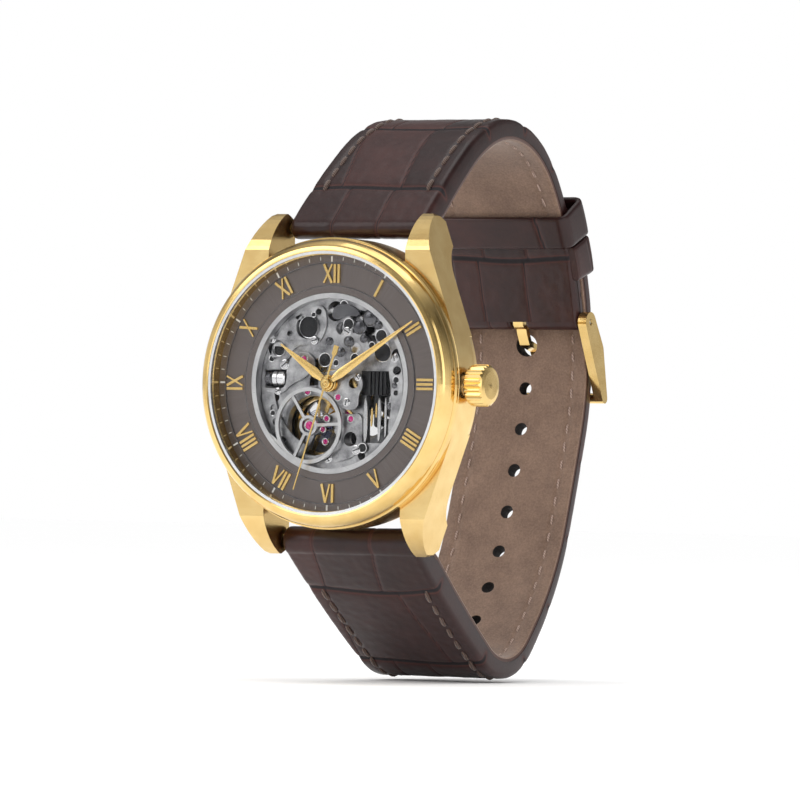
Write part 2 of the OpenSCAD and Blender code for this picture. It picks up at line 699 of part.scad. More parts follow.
module rotor() color(STEEL) face() {
    difference() {
        union() {
            window_arc([0, 0], 1.8, 10.8, 95, 265, [2.15 + eps, 2.45 - eps]);
            window_arc([0, 0], 10.6, 12.7, 95, 265, [rotor_h[0] + eps, rotor_h[1] - eps]);
            disc(2.1, [2.15, 2.5]);
            toothed(rotor_n, rotor_m, [2.4, 2.78], reverser_dir);
        }
        bore(1.2, rotor_h);
        for (a = [120, 150, 210, 240]) place(at(a, 6.5)) bore(1.5, rotor_h);
        place(at(180, 6.5)) bore(1.5, rotor_h);
    }
}

module rotor_bearing() color(STEEL) face() {
    disc(1.15, [2.15, 2.84]);
    disc(1.6, [2.82, bridge_h[0]]);
    disc(1.5, [1.85, 2.1]);
    disc(0.5, [2, 2.3]);
}

module reversing_wheel() color(GOLD) face() place(reverser_at) difference() {
    toothed(reverser_n, rotor_m, [2.62, 2.84], reverser_dir + 180 + 180 / reverser_n);
    bore(0.3, rotor_h);
}

// ---------- crown and keyless work ----------

groove_x = 10;                // the stem's groove for the setting lever
lever_at = [10.6, 2.4];
yoke_at = [7, -5.6];

module along_stem(x) translate([x, 0, stem_h]) rotate([0, 90, 0]) children();

module winding_stem() color(STEEL) face() difference() {
    union() {
        along_stem(6.1) cylinder(r = 0.32, h = 3.5);
        along_stem(9.5) cylinder(r = 0.5, h = 13.7);
    }
    along_stem(groove_x - 0.25) difference() {
        cylinder(r = 1, h = 0.5);
        translate([0, 0, -eps]) cylinder(r = 0.3, h = 0.5 + 2 * eps);
    }
}

module winding_pinion() color(STEEL) face() along_stem(7.4) difference() {
    toothed(winding_n, winding_m, [0, 0.8], 90);
    bore(0.37, [0, 0.8]);
}

module sliding_clutch() color(STEEL) face() along_stem(8.3) difference() {
    union() {
        cylinder(r = 1.05, h = 0.4);
        cylinder(r = 0.75, h = 1.05);
    }
    bore(0.37, [0, 1.05]);
}

module setting_lever() color(STEEL) face() difference() {
    h = [6.45, 6.75];
    union() {
        link(lever_at, [groove_x, 0], 0.45, h);
        place(lever_at) disc(0.5, [h[0], h[1] + 0.05]);
        place([groove_x, 0]) disc(0.2, [5.95, 6.6]);
    }
    place(lever_at) bore(0.3, h);
}

module yoke() color(STEEL) face() difference() {
    h = [6.45, 6.7];
    union() {
        place(yoke_at) disc(0.7, [h[0], h[1] + 0.05]);
        link(yoke_at, [8.9, -1.35], 0.5, h);
    }
    place(yoke_at) bore(0.3, h);
}

module keyless_cover() color(DARK) face() {
    h = [plate_h[1] + 0.02, plate_h[1] + 0.22];
    arm_h = [plate_h[1] + 0.05, plate_h[1] + 0.19];
    translate([4.5, -1.6, h[0]]) cube([4.3, 3.4, h[1] - h[0]]);
    for (i = [0 : 4]) translate([5.7 + i * 0.62, -1.5, h[0] + 0.1]) cube([0.42, 3.2, 0.4]);
    link([8, 0.5], lever_at, 0.8, arm_h);
    link([7, 0], yoke_at, 0.8, arm_h);
    post(lever_at, 0.26, [6.4, h[1]]);
    post(yoke_at, 0.26, [6.4, h[1]]);
}

// The crown: fluted rim, shallow dome, hollow that covers the crown tube
module crown() color(GOLD) face() {
    r = crown_d / 2;
    along_stem(20.9) difference() {
        intersection() {
            linear_extrude(crown_l) polygon([for (i = [0 : 4 * crown_flutes - 1])
                at(i * 90 / crown_flutes, r + 0.04 - 0.16 * (1 - cos(i * 90)))]);
            rotate_extrude() polygon([[0, 0], [r - 0.3, 0], [r, 0.3], [r, crown_l - 0.5], [r - 0.4, crown_l - 0.15],
                [r - 1, crown_l - 0.05], [0, crown_l]]);
        }
        translate([0, 0, -eps]) cylinder(r = 1.98, h = 1.5 + eps);
        translate([0, 0, -eps]) cylinder(r = 0.5, h = 2.3 + eps);
    }
}

module crown_tube() color(STEEL) face() along_stem(17.05) difference() {
    cylinder(r = 1.6, h = 4.85);
    bore(0.75, [0, 4.85]);
}

module crown_gasket() color(DARK) face() along_stem(21.3) rotate_extrude()
    translate([1.79, 0]) circle(r = 0.17, $fn = 16);

// ---------- strap and buckle ----------

module strap_bar_cut(p, r) side() place(p) cylinder(r = r, h = 60, center = true);

module strap_nose(p, r, w) side() place(p) cylinder(r = r, h = w, center = true);

module upper_strap() color(LEATHER) difference() {
    union() {
        band(upper_start, upper_arcs, 1.9, 56, upper_w, [0, upper_t, 0], [1, upper_t, lining_t], 26);
        band(upper_start, upper_arcs, 55.9, upper_len - 0.3, upper_w, [0, upper_t, 0], [1, upper_t, 0], 8);
        band(upper_start, upper_arcs, 1.2, 2.6, upper_w, [0, upper_t, 0], [1, upper_t, 0], 2);
        strap_nose(bar_at, nose_r, strap_w - 0.1);
        strap_nose(buckle_at, buckle_nose_r, strap_end_w - 0.1);
    }
    strap_bar_cut(bar_at, bar_r + fit);
    strap_bar_cut(buckle_at, buckle_bar_r + fit);
    side() place(buckle_at) rotate([0, 0, 10]) cube([3.6, 3.4, 2.4], center = true);
}

module upper_lining() color(LINING)
    band(upper_start, upper_arcs, 2.6, 55.9, upper_w, [1, upper_t, lining_t - glue], [1, upper_t, 0], 26);

module hole_cut(s, r) {
    p = walk(tail_start, tail_arcs, s);
    side() place(p) rotate([0, 0, p[2]]) rotate([90, 0, 0]) cylinder(r = r, h = 12, center = true);
}

module tail_holes() {
    for (d = [-0.7, 0.1]) hole_cut(tongue_hole_s + d, tongue_hole_r);
    for (i = [1 : holes - 1]) hole_cut(tongue_hole_s + i * hole_pitch, hole_r);
}

module lower_strap() color(LEATHER) difference() {
    union() {
        band(tail_start, tail_arcs, 0, 9, tail_w, [0, lower_t, 0], [1, lower_t, lining_t], 12);
        band(tail_start, tail_arcs, 8.9, tail_len - 1.2, tail_w, [0, lower_t, 0], [1, lower_t, lining_t], 46);
        band(tail_start, tail_arcs, tail_len - 2, tail_len - 0.4, tail_w, [0, lower_t, 0], [1, lower_t, 0], 2);
        strap_nose([bar_at[0], -bar_at[1]], nose_r, strap_w - 0.1);
    }
    strap_bar_cut([bar_at[0], -bar_at[1]], bar_r + fit);
    tail_holes();
}

module lower_lining() color(LINING) difference() {
    union() {
        band(tail_start, tail_arcs, 0, 9, tail_w, [1, lower_t, lining_t - glue], [1, lower_t, 0], 12);
        band(tail_start, tail_arcs, 8.9, tail_len - 2.02, tail_w, [1, lower_t, lining_t - glue], [1, lower_t, 0], 46);
    }
    tail_holes();
}

// A keeper's section is swept about the bend's centre, so it can slide round the strap
module keeper(angles, w_in, r_in, r_out, open) {
    side() place(bend_c) rotate([0, 0, angles[0]]) rotate_extrude(angle = angles[1] - angles[0], $fn = 180)
        difference() {
            translate([r_in - (open ? 0 : keeper_t), -w_in / 2 - keeper_t])
                square([r_out - r_in + (open ? 1 : 2) * keeper_t, w_in + 2 * keeper_t]);
            translate([r_in - (open ? 1 : 0), -w_in / 2]) square([r_out - r_in + (open ? 1 : 0), w_in]);
        }
}

module fixed_keeper() color(LEATHER)
    keeper(fixed_keeper_angles, strap_end_w + 0.1, bend_r - 2.2, tail_r + 0.15, true);

module free_keeper() color(LEATHER)
    keeper(free_keeper_angles, strap_end_w + 0.3, bend_r - 2.65, tail_r + 0.15, false);

module rod(p, r, x0, x1) side() translate([p[0], p[1], x0]) cylinder(r = r, h = x1 - x0, $fn = 32);

module buckle_frame() color(GOLD) {
    w = buckle_x[1] - buckle_x[0];
    knee = [48.6, 6.2];
    difference() {
        for (x = [buckle_x[0], -buckle_x[1]]) {
            hull() {
                rod(buckle_at, 1.5, x, x + w);
                rod(knee, 1.75, x, x + w);
            }
            hull() {
                rod(knee, 1.75, x, x + w);
                rod(crossbar_at, crossbar_r, x, x + w);
            }
        }
        strap_bar_cut(buckle_at, buckle_pin_r + fit);
    }
    side() place(crossbar_at) cylinder(r = crossbar_r, h = 2 * buckle_x[0] + 0.4, center = true);
}

module buckle_bar() color(STEEL) {
    side() place(buckle_at) cylinder(r = buckle_bar_r, h = 2 * buckle_x[0] - 0.2, center = true);
    side() place(buckle_at) cylinder(r = buckle_pin_r, h = 2 * buckle_x[1] - 0.4, center = true);
}

tongue_path = [[46.9, 8.7], [47.7, 7.3], [50.8, 6.45], [51.9, 4.8], [52.25, 0.5], [52.1, -1.9]];

module buckle_tongue() color(GOLD) {
    for (i = [0 : len(tongue_path) - 2]) hull() {
        rod(tongue_path[i], 0.42, -tongue_w / 2, tongue_w / 2);
        rod(tongue_path[i + 1], 0.42, -tongue_w / 2, tongue_w / 2);
    }
    difference() {
        union() {
            side() place(buckle_at) cylinder(r = 1.1, h = tongue_w, center = true);
            hull() {
                rod(buckle_at + [0.3, -0.7], 0.42, -tongue_w / 2, tongue_w / 2);
                rod(tongue_path[0], 0.42, -tongue_w / 2, tongue_w / 2);
            }
        }
        strap_bar_cut(buckle_at, buckle_bar_r + fit);
    }
}

case_middle();
bezel();
crystal();
crystal_gasket();
rehaut();
case_back();
case_back_glass();
case_back_gasket();
crown_tube();
spring_bars();
dial_ring();
skeleton_rim();
hour_numerals();
hour_hand();
minute_hand();
seconds_hand();
movement_ring();
main_plate();
barrel_bridge();
train_bridge();
balance_cock();
pallet_bridge();
plate_jewels();
movement_screws();
barrel();
barrel_arbor();
mainspring();
ratchet_wheel();
crown_wheel();
click();
centre_wheel();
third_wheel();
fourth_wheel();
escape_wheel();
pallet_fork();
balance_wheel();
hairspring();
cannon_pinion();
minute_wheel();
hour_wheel();
rotor();
rotor_bearing();
reversing_wheel();
winding_stem();
sliding_clutch();
winding_pinion();
setting_lever();
yoke();
keyless_cover();
crown();
crown_gasket();
upper_strap();
upper_lining();
lower_strap();
lower_lining();
fixed_keeper();
free_keeper();
buckle_frame();
buckle_bar();
buckle_tongue();
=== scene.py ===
import math
import random

import bmesh
import bpy
import numpy as np
from mathutils import Matrix, Vector, noise


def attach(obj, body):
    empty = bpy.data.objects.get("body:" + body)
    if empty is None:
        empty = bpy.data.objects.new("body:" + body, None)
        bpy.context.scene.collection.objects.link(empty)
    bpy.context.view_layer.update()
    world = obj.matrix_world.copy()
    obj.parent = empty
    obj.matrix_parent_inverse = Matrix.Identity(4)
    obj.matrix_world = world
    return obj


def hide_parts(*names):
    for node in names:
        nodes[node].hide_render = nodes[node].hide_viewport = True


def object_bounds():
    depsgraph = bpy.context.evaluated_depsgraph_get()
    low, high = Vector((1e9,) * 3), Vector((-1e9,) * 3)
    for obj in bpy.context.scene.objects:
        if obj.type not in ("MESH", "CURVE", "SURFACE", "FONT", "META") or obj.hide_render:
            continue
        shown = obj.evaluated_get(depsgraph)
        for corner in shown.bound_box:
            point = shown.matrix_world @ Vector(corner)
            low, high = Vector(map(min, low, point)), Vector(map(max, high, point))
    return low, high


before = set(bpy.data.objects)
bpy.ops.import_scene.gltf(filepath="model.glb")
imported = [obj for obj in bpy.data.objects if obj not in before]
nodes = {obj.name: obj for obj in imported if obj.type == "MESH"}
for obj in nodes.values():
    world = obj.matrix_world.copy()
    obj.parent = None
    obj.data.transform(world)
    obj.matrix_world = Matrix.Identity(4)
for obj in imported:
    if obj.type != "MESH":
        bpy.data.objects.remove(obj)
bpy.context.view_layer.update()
random.seed(7)
MM = 0.001


# ---------------------------------------------------------------- materials

def put(t, shader, *values, **named):
    """Fills a shader's inputs in order, or by name with _ for a space; an output is linked in."""
    sockets = list(zip(shader.inputs, values))
    sockets += [(shader.inputs[key.replace("_", " ")], value) for key, value in named.items()]
    for socket, value in sockets:
        if isinstance(value, bpy.types.NodeSocket):
            t.links.new(value, socket)
        else:
            socket.default_value = value


def add(t, kind, *values, **named):
    """A new shader node with its inputs filled."""
    shader = t.nodes.new("ShaderNode" + kind)
    put(t, shader, *values, **named)
    return shader


def tree(name):
    """A new material, its node tree and its Principled BSDF."""
    m = bpy.data.materials.new(name)
    m.use_nodes = True
    t = m.node_tree
    t.nodes.clear()
    bsdf = add(t, "BsdfPrincipled")
    add(t, "OutputMaterial", bsdf.outputs[0])
    return m, t, bsdf


def coords(t, scale=(1, 1, 1)):
    """Object coordinates in millimetres, scaled."""
    place = add(t, "TexCoord").outputs["Object"]
    return add(t, "Mapping", Vector=place, Scale=[s / MM for s in scale]).outputs["Vector"]


def attribute(t, name):
    shader = add(t, "Attribute")
    shader.attribute_name = name
    return shader.outputs["Fac"]


def noise_at(t, vector, scale, detail=3, roughness=0.55):
    return add(t, "TexNoise", Vector=vector, Scale=scale, Detail=detail, Roughness=roughness).outputs["Fac"]


def ramp(t, value, stops):
    """A colour ramp; a stop's colour may be a single grey."""
    shader = add(t, "ValToRGB", value)
    elements = shader.color_ramp.elements
    while len(elements) < len(stops):
        elements.new(0.5)
    for element, (place, color) in zip(elements, stops):
        element.position = place
        element.color = (color, color, color, 1) if isinstance(color, float) else (*color, 1)
    return shader.outputs["Color"]


def span(t, value, lo, hi, lo_in=0.0, hi_in=1.0):
    """Stretches the range from lo_in to hi_in to that from lo to hi."""
    shader = add(t, "MapRange", Value=value, From_Min=lo_in, From_Max=hi_in, To_Min=lo, To_Max=hi)
    return shader.outputs["Result"]


def calc(t, operation, *values):
    shader = t.nodes.new("ShaderNodeMath")
    shader.operation = operation
    put(t, shader, *values)
    return shader.outputs[0]


def times(t, a, b):
    return calc(t, "MULTIPLY", a, b)


def plus(t, a, b):
    return calc(t, "ADD", a, b)


def bump(t, bsdf, height, strength, distance):
    """Bumps of the given height; distance is in millimetres."""
    shader = add(t, "Bump", Height=height, Strength=strength, Distance=distance * MM)
    put(t, bsdf, Normal=shader.outputs["Normal"])


def metal(name, light, dark, rough, fine=0.0, stretch=(1, 1, 1), strength=0.05):
    """Metal with broad tone changes, uneven polish and, where fine is set, brushed scratches."""
    m, t, b = tree(name)
    tone = noise_at(t, coords(t), 0.35, 4)
    lines = noise_at(t, coords(t, stretch), 6.0 if fine else 1.6, 5)
    put(t, b, Base_Color=ramp(t, tone, [(0.3, dark), (0.7, light)]), Metallic=1.0,
        Roughness=span(t, lines, rough * 0.7, rough * 1.35))
    bump(t, b, lines, strength + fine, 0.03)
    return m


def glossy(name, color, rough, **more):
    """A smooth surface with slight changes of tone and polish; more is for its shader."""
    m, t, b = tree(name)
    v = coords(t)
    tone = ramp(t, noise_at(t, v, 1.2, 3), [(0.3, [c * 0.85 for c in color]), (0.7, color)])
    put(t, b, Base_Color=tone, Roughness=span(t, noise_at(t, v, 4.0), rough * 0.8, rough * 1.3), **more)
    return m


def plate_metal(name, light, dark):
    """Blasted plate with overlapping polished spots."""
    m, t, b = tree(name)
    v = coords(t)
    spots = add(t, "TexVoronoi", Vector=v, Scale=1.1, Randomness=0.35)
    rings = calc(t, "SINE", times(t, spots.outputs["Distance"], 38.0))
    grain = noise_at(t, v, 9.0, 4)
    mixed = plus(t, times(t, rings, 0.25), grain)
    tone = plus(t, noise_at(t, v, 0.5, 3), times(t, grain, 0.3))
    put(t, b, Base_Color=ramp(t, tone, [(0.45, dark), (0.85, light)]), Metallic=1.0,
        Roughness=span(t, mixed, 0.26, 0.42))
    bump(t, b, mixed, 0.25, 0.03)
    return m


def dial_metal():
    """Dark metal with fine scratches running out from the hands' axis."""
    m, t, b = tree("dial_dark")
    x, _, z = add(t, "SeparateXYZ", add(t, "TexCoord").outputs["Object"]).outputs
    r = calc(t, "SQRT", plus(t, times(t, x, x), times(t, z, z)))
    angle = calc(t, "ARCTAN2", z, x)
    across = add(t, "CombineXYZ", times(t, angle, 210.0), times(t, r, 90.0)).outputs[0]
    lines = noise_at(t, across, 1.0, 4, 0.6)
    put(t, b, Base_Color=ramp(t, lines, [(0.3, (0.137, 0.117, 0.110)), (0.7, (0.190, 0.165, 0.156))]),
        Metallic=0.75, Roughness=span(t, lines, 0.34, 0.46))
    bump(t, b, lines, 0.05, 0.01)
    return m


def croc_leather():
    """Dark leather; the meshes' crease and tone values say where its scales end and differ."""
    m, t, b = tree("croc_leather")
    v = coords(t)
    crease, tone = attribute(t, "crease"), attribute(t, "tone")
    cloud = noise_at(t, v, 0.22, 4)
    grain = noise_at(t, v, 7.0, 4, 0.65)
    shade = plus(t, plus(t, times(t, cloud, 0.55), times(t, tone, 0.35)), times(t, grain, 0.15))
    base = ramp(t, shade, [(0.25, (0.012, 0.0038, 0.0038)), (0.55, (0.028, 0.0088, 0.0080)),
                           (0.85, (0.058, 0.0195, 0.0165))])
    # The creases are coloured darker: partly the scales' own darker joints, partly painted shade.
    rim = ramp(t, crease, [(0.0, 0.0), (0.25, 0.10), (0.5, 0.75), (1.0, 1.0)])
    edge = ramp(t, crease, [(0.35, (0.105, 0.030, 0.022)), (0.75, (0.012, 0.009, 0.011))])
    mix = t.nodes.new("ShaderNodeMix")
    mix.data_type = "RGBA"
    put(t, mix, Factor=rim, A=base, B=edge)
    gloss = span(t, plus(t, times(t, grain, 0.5), times(t, cloud, 0.5)), 0.24, 0.42)
    put(t, b, Base_Color=mix.outputs["Result"], Roughness=plus(t, gloss, times(t, crease, 0.45)),
        Coat_Weight=0.04, Coat_Roughness=0.2, Specular_IOR_Level=0.34)
    pores = add(t, "TexVoronoi", Vector=v, Scale=2.2).outputs["Distance"]
    bump(t, b, plus(t, times(t, grain, 0.6), times(t, pores, 0.5)), 0.22, 0.05)
    return m


def nubuck(name, light, dark):
    m, t, b = tree(name)
    v = coords(t)
    cloud = noise_at(t, v, 0.25, 4)
    grain = noise_at(t, v, 3.4, 6, 0.75)
    shade = plus(t, times(t, cloud, 0.35), times(t, grain, 0.65))
    put(t, b, Base_Color=ramp(t, shade, [(0.36, dark), (0.64, light)]), Roughness=span(t, grain, 0.8, 0.98),
        Sheen_Weight=0.25, Sheen_Roughness=0.6, Specular_IOR_Level=0.2)
    bump(t, b, grain, 0.5, 0.09)
    return m


def thread(name, light, dark):
    m, t, b = tree(name)
    twist = add(t, "TexWave", Vector=coords(t), Scale=1.3, Distortion=1.5)
    twist.bands_direction = "DIAGONAL"
    f = twist.outputs["Fac"]
    put(t, b, Base_Color=ramp(t, f, [(0.2, dark), (0.8, light)]), Roughness=span(t, f, 0.5, 0.75),
        Sheen_Weight=0.2)
    bump(t, b, f, 0.4, 0.06)
    return m


GOLD = metal("gold_polished", (0.86, 0.62, 0.26), (0.76, 0.52, 0.19), 0.15, strength=0.015)
GOLD_SATIN = metal("gold_satin", (0.86, 0.63, 0.28), (0.77, 0.53, 0.21), 0.23, 0.05, (0.08, 0.5, 0.5), 0.02)
GOLD_HAND = metal("gold_hands", (0.92, 0.66, 0.27), (0.84, 0.57, 0.20), 0.22, 0.03, (0.6, 0.6, 0.6), 0.02)
STEEL = metal("steel_polished", (0.84, 0.84, 0.85), (0.70, 0.70, 0.71), 0.13, strength=0.02)
STEEL_BRUSHED = metal("steel_brushed", (0.70, 0.70, 0.70), (0.52, 0.52, 0.53), 0.30, 0.10, (0.2, 1, 2.5))
BRASS = metal("brass_gear", (0.86, 0.63, 0.28), (0.74, 0.50, 0.19), 0.22, 0.04, strength=0.03)
# A darkened copy of steel: painted shade on the polished domes and as the sheet in the sunk kidney-shaped
# area.
DARK_STEEL_AND_SHADE = metal("steel_dark_and_painted_shade", (0.20, 0.20, 0.21), (0.09, 0.09, 0.10), 0.22, 0.02)
SILVER_RING = metal("inner_ring", (0.92, 0.93, 0.94), (0.80, 0.81, 0.83), 0.20, 0.02)
PLATE = plate_metal("plate_blasted", (0.56, 0.56, 0.57), (0.15, 0.15, 0.16))
BRIDGE = plate_metal("bridge_pearled", (0.62, 0.62, 0.63), (0.23, 0.23, 0.24))
DIAL = dial_metal()
RUBY = glossy("ruby", (0.62, 0.02, 0.22), 0.08, Coat_Weight=0.6)
# Black for the keyless cover; the screw slots and the sunk-hole discs use it as painted shade.
BLACK_AND_SHADE = glossy("black_metal", (0.020, 0.020, 0.022), 0.30, Metallic=0.4)
BLUE = glossy("blue_spring", (0.12, 0.16, 0.34), 0.22, Metallic=1.0)
RUBBER = glossy("gasket", (0.02, 0.02, 0.02), 0.55)
WHITE = glossy("white_print", (0.82, 0.82, 0.80), 0.45)
GLASS = glossy("crystal", (0.010, 0.011, 0.012), 0.02, Alpha=0.06)
CROC = croc_leather()
# Painted shade: the punched holes' walls, dark cut leather made nearly black for the shade inside them.
HOLE_WALL_SHADE = glossy("punched_hole_wall_shade", (0.014, 0.009, 0.008), 0.85)
EDGE = glossy("edge_paint", (0.075, 0.030, 0.020), 0.42)
LINING = nubuck("lining_nubuck", (0.275, 0.178, 0.126), (0.138, 0.083, 0.057))
THREAD = thread("thread_brown", (0.125, 0.072, 0.050), (0.036, 0.019, 0.014))
THREAD_PALE = thread("thread_pale", (0.46, 0.33, 0.27), (0.24, 0.16, 0.125))

material_of = {
    GOLD: "bezel case_back buckle_frame buckle_tongue crown rehaut",
    GOLD_SATIN: "case_middle",
    GOLD_HAND: "hour_numerals",
    STEEL: "barrel_arbor movement_screws escape_wheel pallet_fork cannon_pinion rotor_bearing "
           "winding_stem sliding_clutch winding_pinion setting_lever yoke barrel",
    STEEL_BRUSHED: "spring_bars buckle_bar crown_tube movement_ring rotor mainspring ratchet_wheel "
                   "crown_wheel click skeleton_rim",
    BRASS: "centre_wheel third_wheel fourth_wheel balance_wheel minute_wheel hour_wheel reversing_wheel",
    PLATE: "main_plate",
    BRIDGE: "barrel_bridge train_bridge balance_cock pallet_bridge",
    DIAL: "dial_ring",
    RUBY: "plate_jewels",
    BLACK_AND_SHADE: "keyless_cover",
    BLUE: "hairspring",
    RUBBER: "crown_gasket case_back_gasket",
    SILVER_RING: "crystal_gasket",
    GLASS: "crystal case_back_glass",
}
for material, names in material_of.items():
    for name in names.split():
        o = nodes[name]
        o.data.materials.clear()
        o.data.materials.append(material)


# ---------------------------------------------------------------- mesh helpers, in millimetres

def make(name, verts, faces, material, body, slot, smooth=True, replaced=(), indices=None, extra=()):
    """A new object; indices give each face its material, of the first one and the extra ones."""
    me = bpy.data.meshes.new(name)
    me.from_pydata([tuple(c * MM for c in v) for v in verts], [], faces)
    for m in (material, *extra):
        me.materials.append(m)
    if indices is not None:
        me.polygons.foreach_set("material_index", indices)
    me.polygons.foreach_set("use_smooth", [smooth] * len(me.polygons))
    me.update()
    o = bpy.data.objects.new(name, me)
    bpy.context.scene.collection.objects.link(o)
    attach(o, body)
    if replaced:
        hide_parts(*replaced)
    return o


def settle(o, sharp=None, **values):
    """Stores the points' values, drops loose points, turns faces outwards and marks sharp edges."""
    for key, numbers in values.items():
        o.data.attributes.new(key, "FLOAT", "POINT").data.foreach_set("value", numbers)
    bm = bmesh.new()
    bm.from_mesh(o.data)
    bmesh.ops.delete(bm, geom=[v for v in bm.verts if not v.link_faces], context="VERTS")
    bmesh.ops.recalc_face_normals(bm, faces=bm.faces)
    bm.to_mesh(o.data)
    bm.free()
    if sharp:
        o.data.set_sharp_from_angle(angle=math.radians(sharp))


def tube(k, n, rings, capped=True):
    """Faces round a stack of rings of n points each, the first ring starting at point k."""
    faces = []
    for j in range(k, k + (rings - 1) * n, n):
        for i in range(n):
            a, b = j + i, j + (i + 1) % n
            faces.append((a, b, b + n, a + n))
    if capped:
        faces.append(tuple(reversed(range(k, k + n))))
        faces.append(tuple(range(k + (rings - 1) * n, k + rings * n)))
    return faces


def dialxy(x, y, h):
    """A point given as seen from the dial: x to 3 o'clock, y to 12, h above the case back."""
    return (x, -h, y)


def clock(angle, r):
    a = math.radians(angle)
    return r * math.sin(a), r * math.cos(a)


def toward(angle, points):
    """Dial points from pairs measured along the direction of a clock angle and across it."""
    s, c = clock(angle, 1)
    return [(s * l + c * w, c * l - s * w) for l, w in points]


class Build:
    """Collects several simple solids into one mesh, in dial coordinates."""

    def __init__(self):
        self.v, self.f = [], []

    def lathe(self, x, y, profile, n=48):
        """Turns a profile of (radius, height) about the axis at x, y; only an open tube is capped."""
        k = len(self.v)
        for r, h in profile:
            for i in range(n):
                a = 2 * math.pi * i / n
                self.v.append(dialxy(x + r * math.cos(a), y + r * math.sin(a), h))
        capped = profile[0][0] > 0.02 and profile[-1][0] > 0.02 and profile[0] != profile[-1]
        self.f += tube(k, n, len(profile), capped)

    def prism(self, points, h0, h1, chamfer):
        """An outline from height h0 up to h1 with a small chamfer round the top."""
        k, n = len(self.v), len(points)
        cx = sum(p[0] for p in points) / n
        cy = sum(p[1] for p in points) / n
        reach = max(math.hypot(p[0] - cx, p[1] - cy) for p in points)
        for h, q in ((h0, 1), (h1 - chamfer, 1), (h1, 1 - chamfer / reach)):
            self.v += [dialxy(cx + (p[0] - cx) * q, cy + (p[1] - cy) * q, h) for p in points]
        self.f += tube(k, n, 3)

    def object(self, name, material, body, slot, smooth=True, replaced=()):
        settle(make(name, self.v, self.f, material, body, slot, smooth, replaced), 32 if smooth else None)


# ---------------------------------------------------------------- strap paths, in millimetres

def along(p, arc, t):
    b = p[2] + math.radians(arc[1]) * t / arc[0]
    r = arc[0] / math.radians(arc[1])
    return (p[0] + r * (math.sin(b) - math.sin(p[2])), p[1] - r * (math.cos(b) - math.cos(p[2])), b)


class Path:
    """The outer line of a strap half in the Y-Z plane, made of arcs of [length, turn]."""

    def __init__(self, start, arcs):
        self.start, self.arcs = start, arcs
        self.length = sum(a[0] for a in arcs)

    def at(self, s):
        p = self.start
        for i, arc in enumerate(self.arcs):
            if s <= arc[0] or i == len(self.arcs) - 1:
                return along(p, arc, s)
            p = along(p, arc, arc[0])
            s -= arc[0]

    def point(self, s, depth, x):
        p = self.at(s)
        return (x, p[0] + depth * math.sin(p[2]), p[1] - depth * math.cos(p[2]))


BEND_R = 48.5
upper = Path((-2.1, 23.0, math.radians(45)),
             [(16.5, -9), (8, -17), (24, -73), (BEND_R * math.radians(26), -26)])
bend_start = upper.at(48.5)
BEND = (bend_start[0] + BEND_R * math.sin(bend_start[2]), bend_start[1] - BEND_R * math.cos(bend_start[2]))
TAIL_T = 2.3
tail_r = BEND_R + 0.15 + TAIL_T
tail_a = math.radians(33.6)
lower = Path((BEND[0] + tail_r * math.cos(tail_a), BEND[1] + tail_r * math.sin(tail_a), tail_a - math.pi / 2),
             [(tail_r * math.radians(21), -21), (20, -29), (14, -2), (21.5, -28), (15.5, -77), (26, -7)])
LINING_T = 0.7
BAR = (-1.1, 22.0)


def table(x, pairs):
    return float(np.interp(x, [p[0] for p in pairs], [p[1] for p in pairs]))


UL, LL = upper.length, lower.length
upper_t = [(0, 3), (5, 3.7), (20, 3.3), (45, 2.5), (UL, 2.4)]
lower_t = [(0, TAIL_T), (55, TAIL_T), (85, 3), (LL - 5, 3.7), (LL, 3)]
upper_w = [(0, 21.6), (45, 19.8), (UL, 19.8)]
lower_w = [(0, 7), (1.5, 12), (3.5, 16.5), (6, 19), (9, 19.8), (70, 19.8), (LL, 21.6)]


# ---------------------------------------------------------------- crocodile relief

class Scales:
    """Crosswise and lengthwise creases of a strap half; s runs along it, x across."""

    def __init__(self, cuts, seed, half, fixed=None):
        rng = random.Random(seed)
        self.cuts = cuts
        self.half = half
        self.phase = [rng.uniform(0, 6.28) for _ in cuts]
        self.bow = [rng.uniform(-0.7, 0.7) for _ in cuts]
        self.rows = []
        for i in range(len(cuts) + 1):
            left = rng.uniform(-0.50, -0.24)
            right = left + rng.uniform(0.52, 0.74)
            self.rows.append([(q, rng.uniform(-0.06, 0.06), rng.uniform(0, 6.28)) for q in (left, right)])
        for i, row in (fixed or {}).items():
            self.rows[i] = [((a + b) / 2, (b - a) / 2, 1.5 * i + a) for a, b in row]
        self.tone = [[rng.random() for _ in range(3)] for _ in range(len(cuts) + 1)]

    def line(self, i, u):
        return self.cuts[i] + self.bow[i] * (u * u - 0.4) + 0.28 * math.sin(3.1 * u + self.phase[i])

    def look(self, s, x):
        """Relief height in millimetres, crease strength and tone."""
        u = x / self.half
        lines = [self.line(i, u) for i in range(len(self.cuts))]
        row = sum(1 for c in lines if c <= s)
        d_cross = min([abs(s - c) for c in lines] or [9])
        lo = lines[row - 1] if row else -2.0
        hi = lines[row] if row < len(lines) else lo + 9
        f = min(max((s - lo) / max(hi - lo, 0.1), 0), 1)
        d_long = 9.0
        col = 0
        for q, lean, phase in self.rows[row]:
            c = (q + lean * (2 * f - 1) + 0.012 * math.sin(5 * f + phase)) * self.half
            d_long = min(d_long, abs(x - c))
            col += x > c
        n = noise.noise((s * 0.9, x * 0.9, row * 3.1)) * 0.06
        cross = math.exp(-(d_cross / 0.55) ** 2)
        lengthwise = 0.9 * math.exp(-(d_long / 0.20) ** 2)
        crease = max(cross, lengthwise)
        pillow = 0.13 * (1 - math.exp(-d_cross / 1.1)) + 0.05 * (1 - math.exp(-d_long / 1.3))
        height = -0.19 * cross - 0.08 * lengthwise + pillow + n * 0.6
        return height, crease, self.tone[row][col]


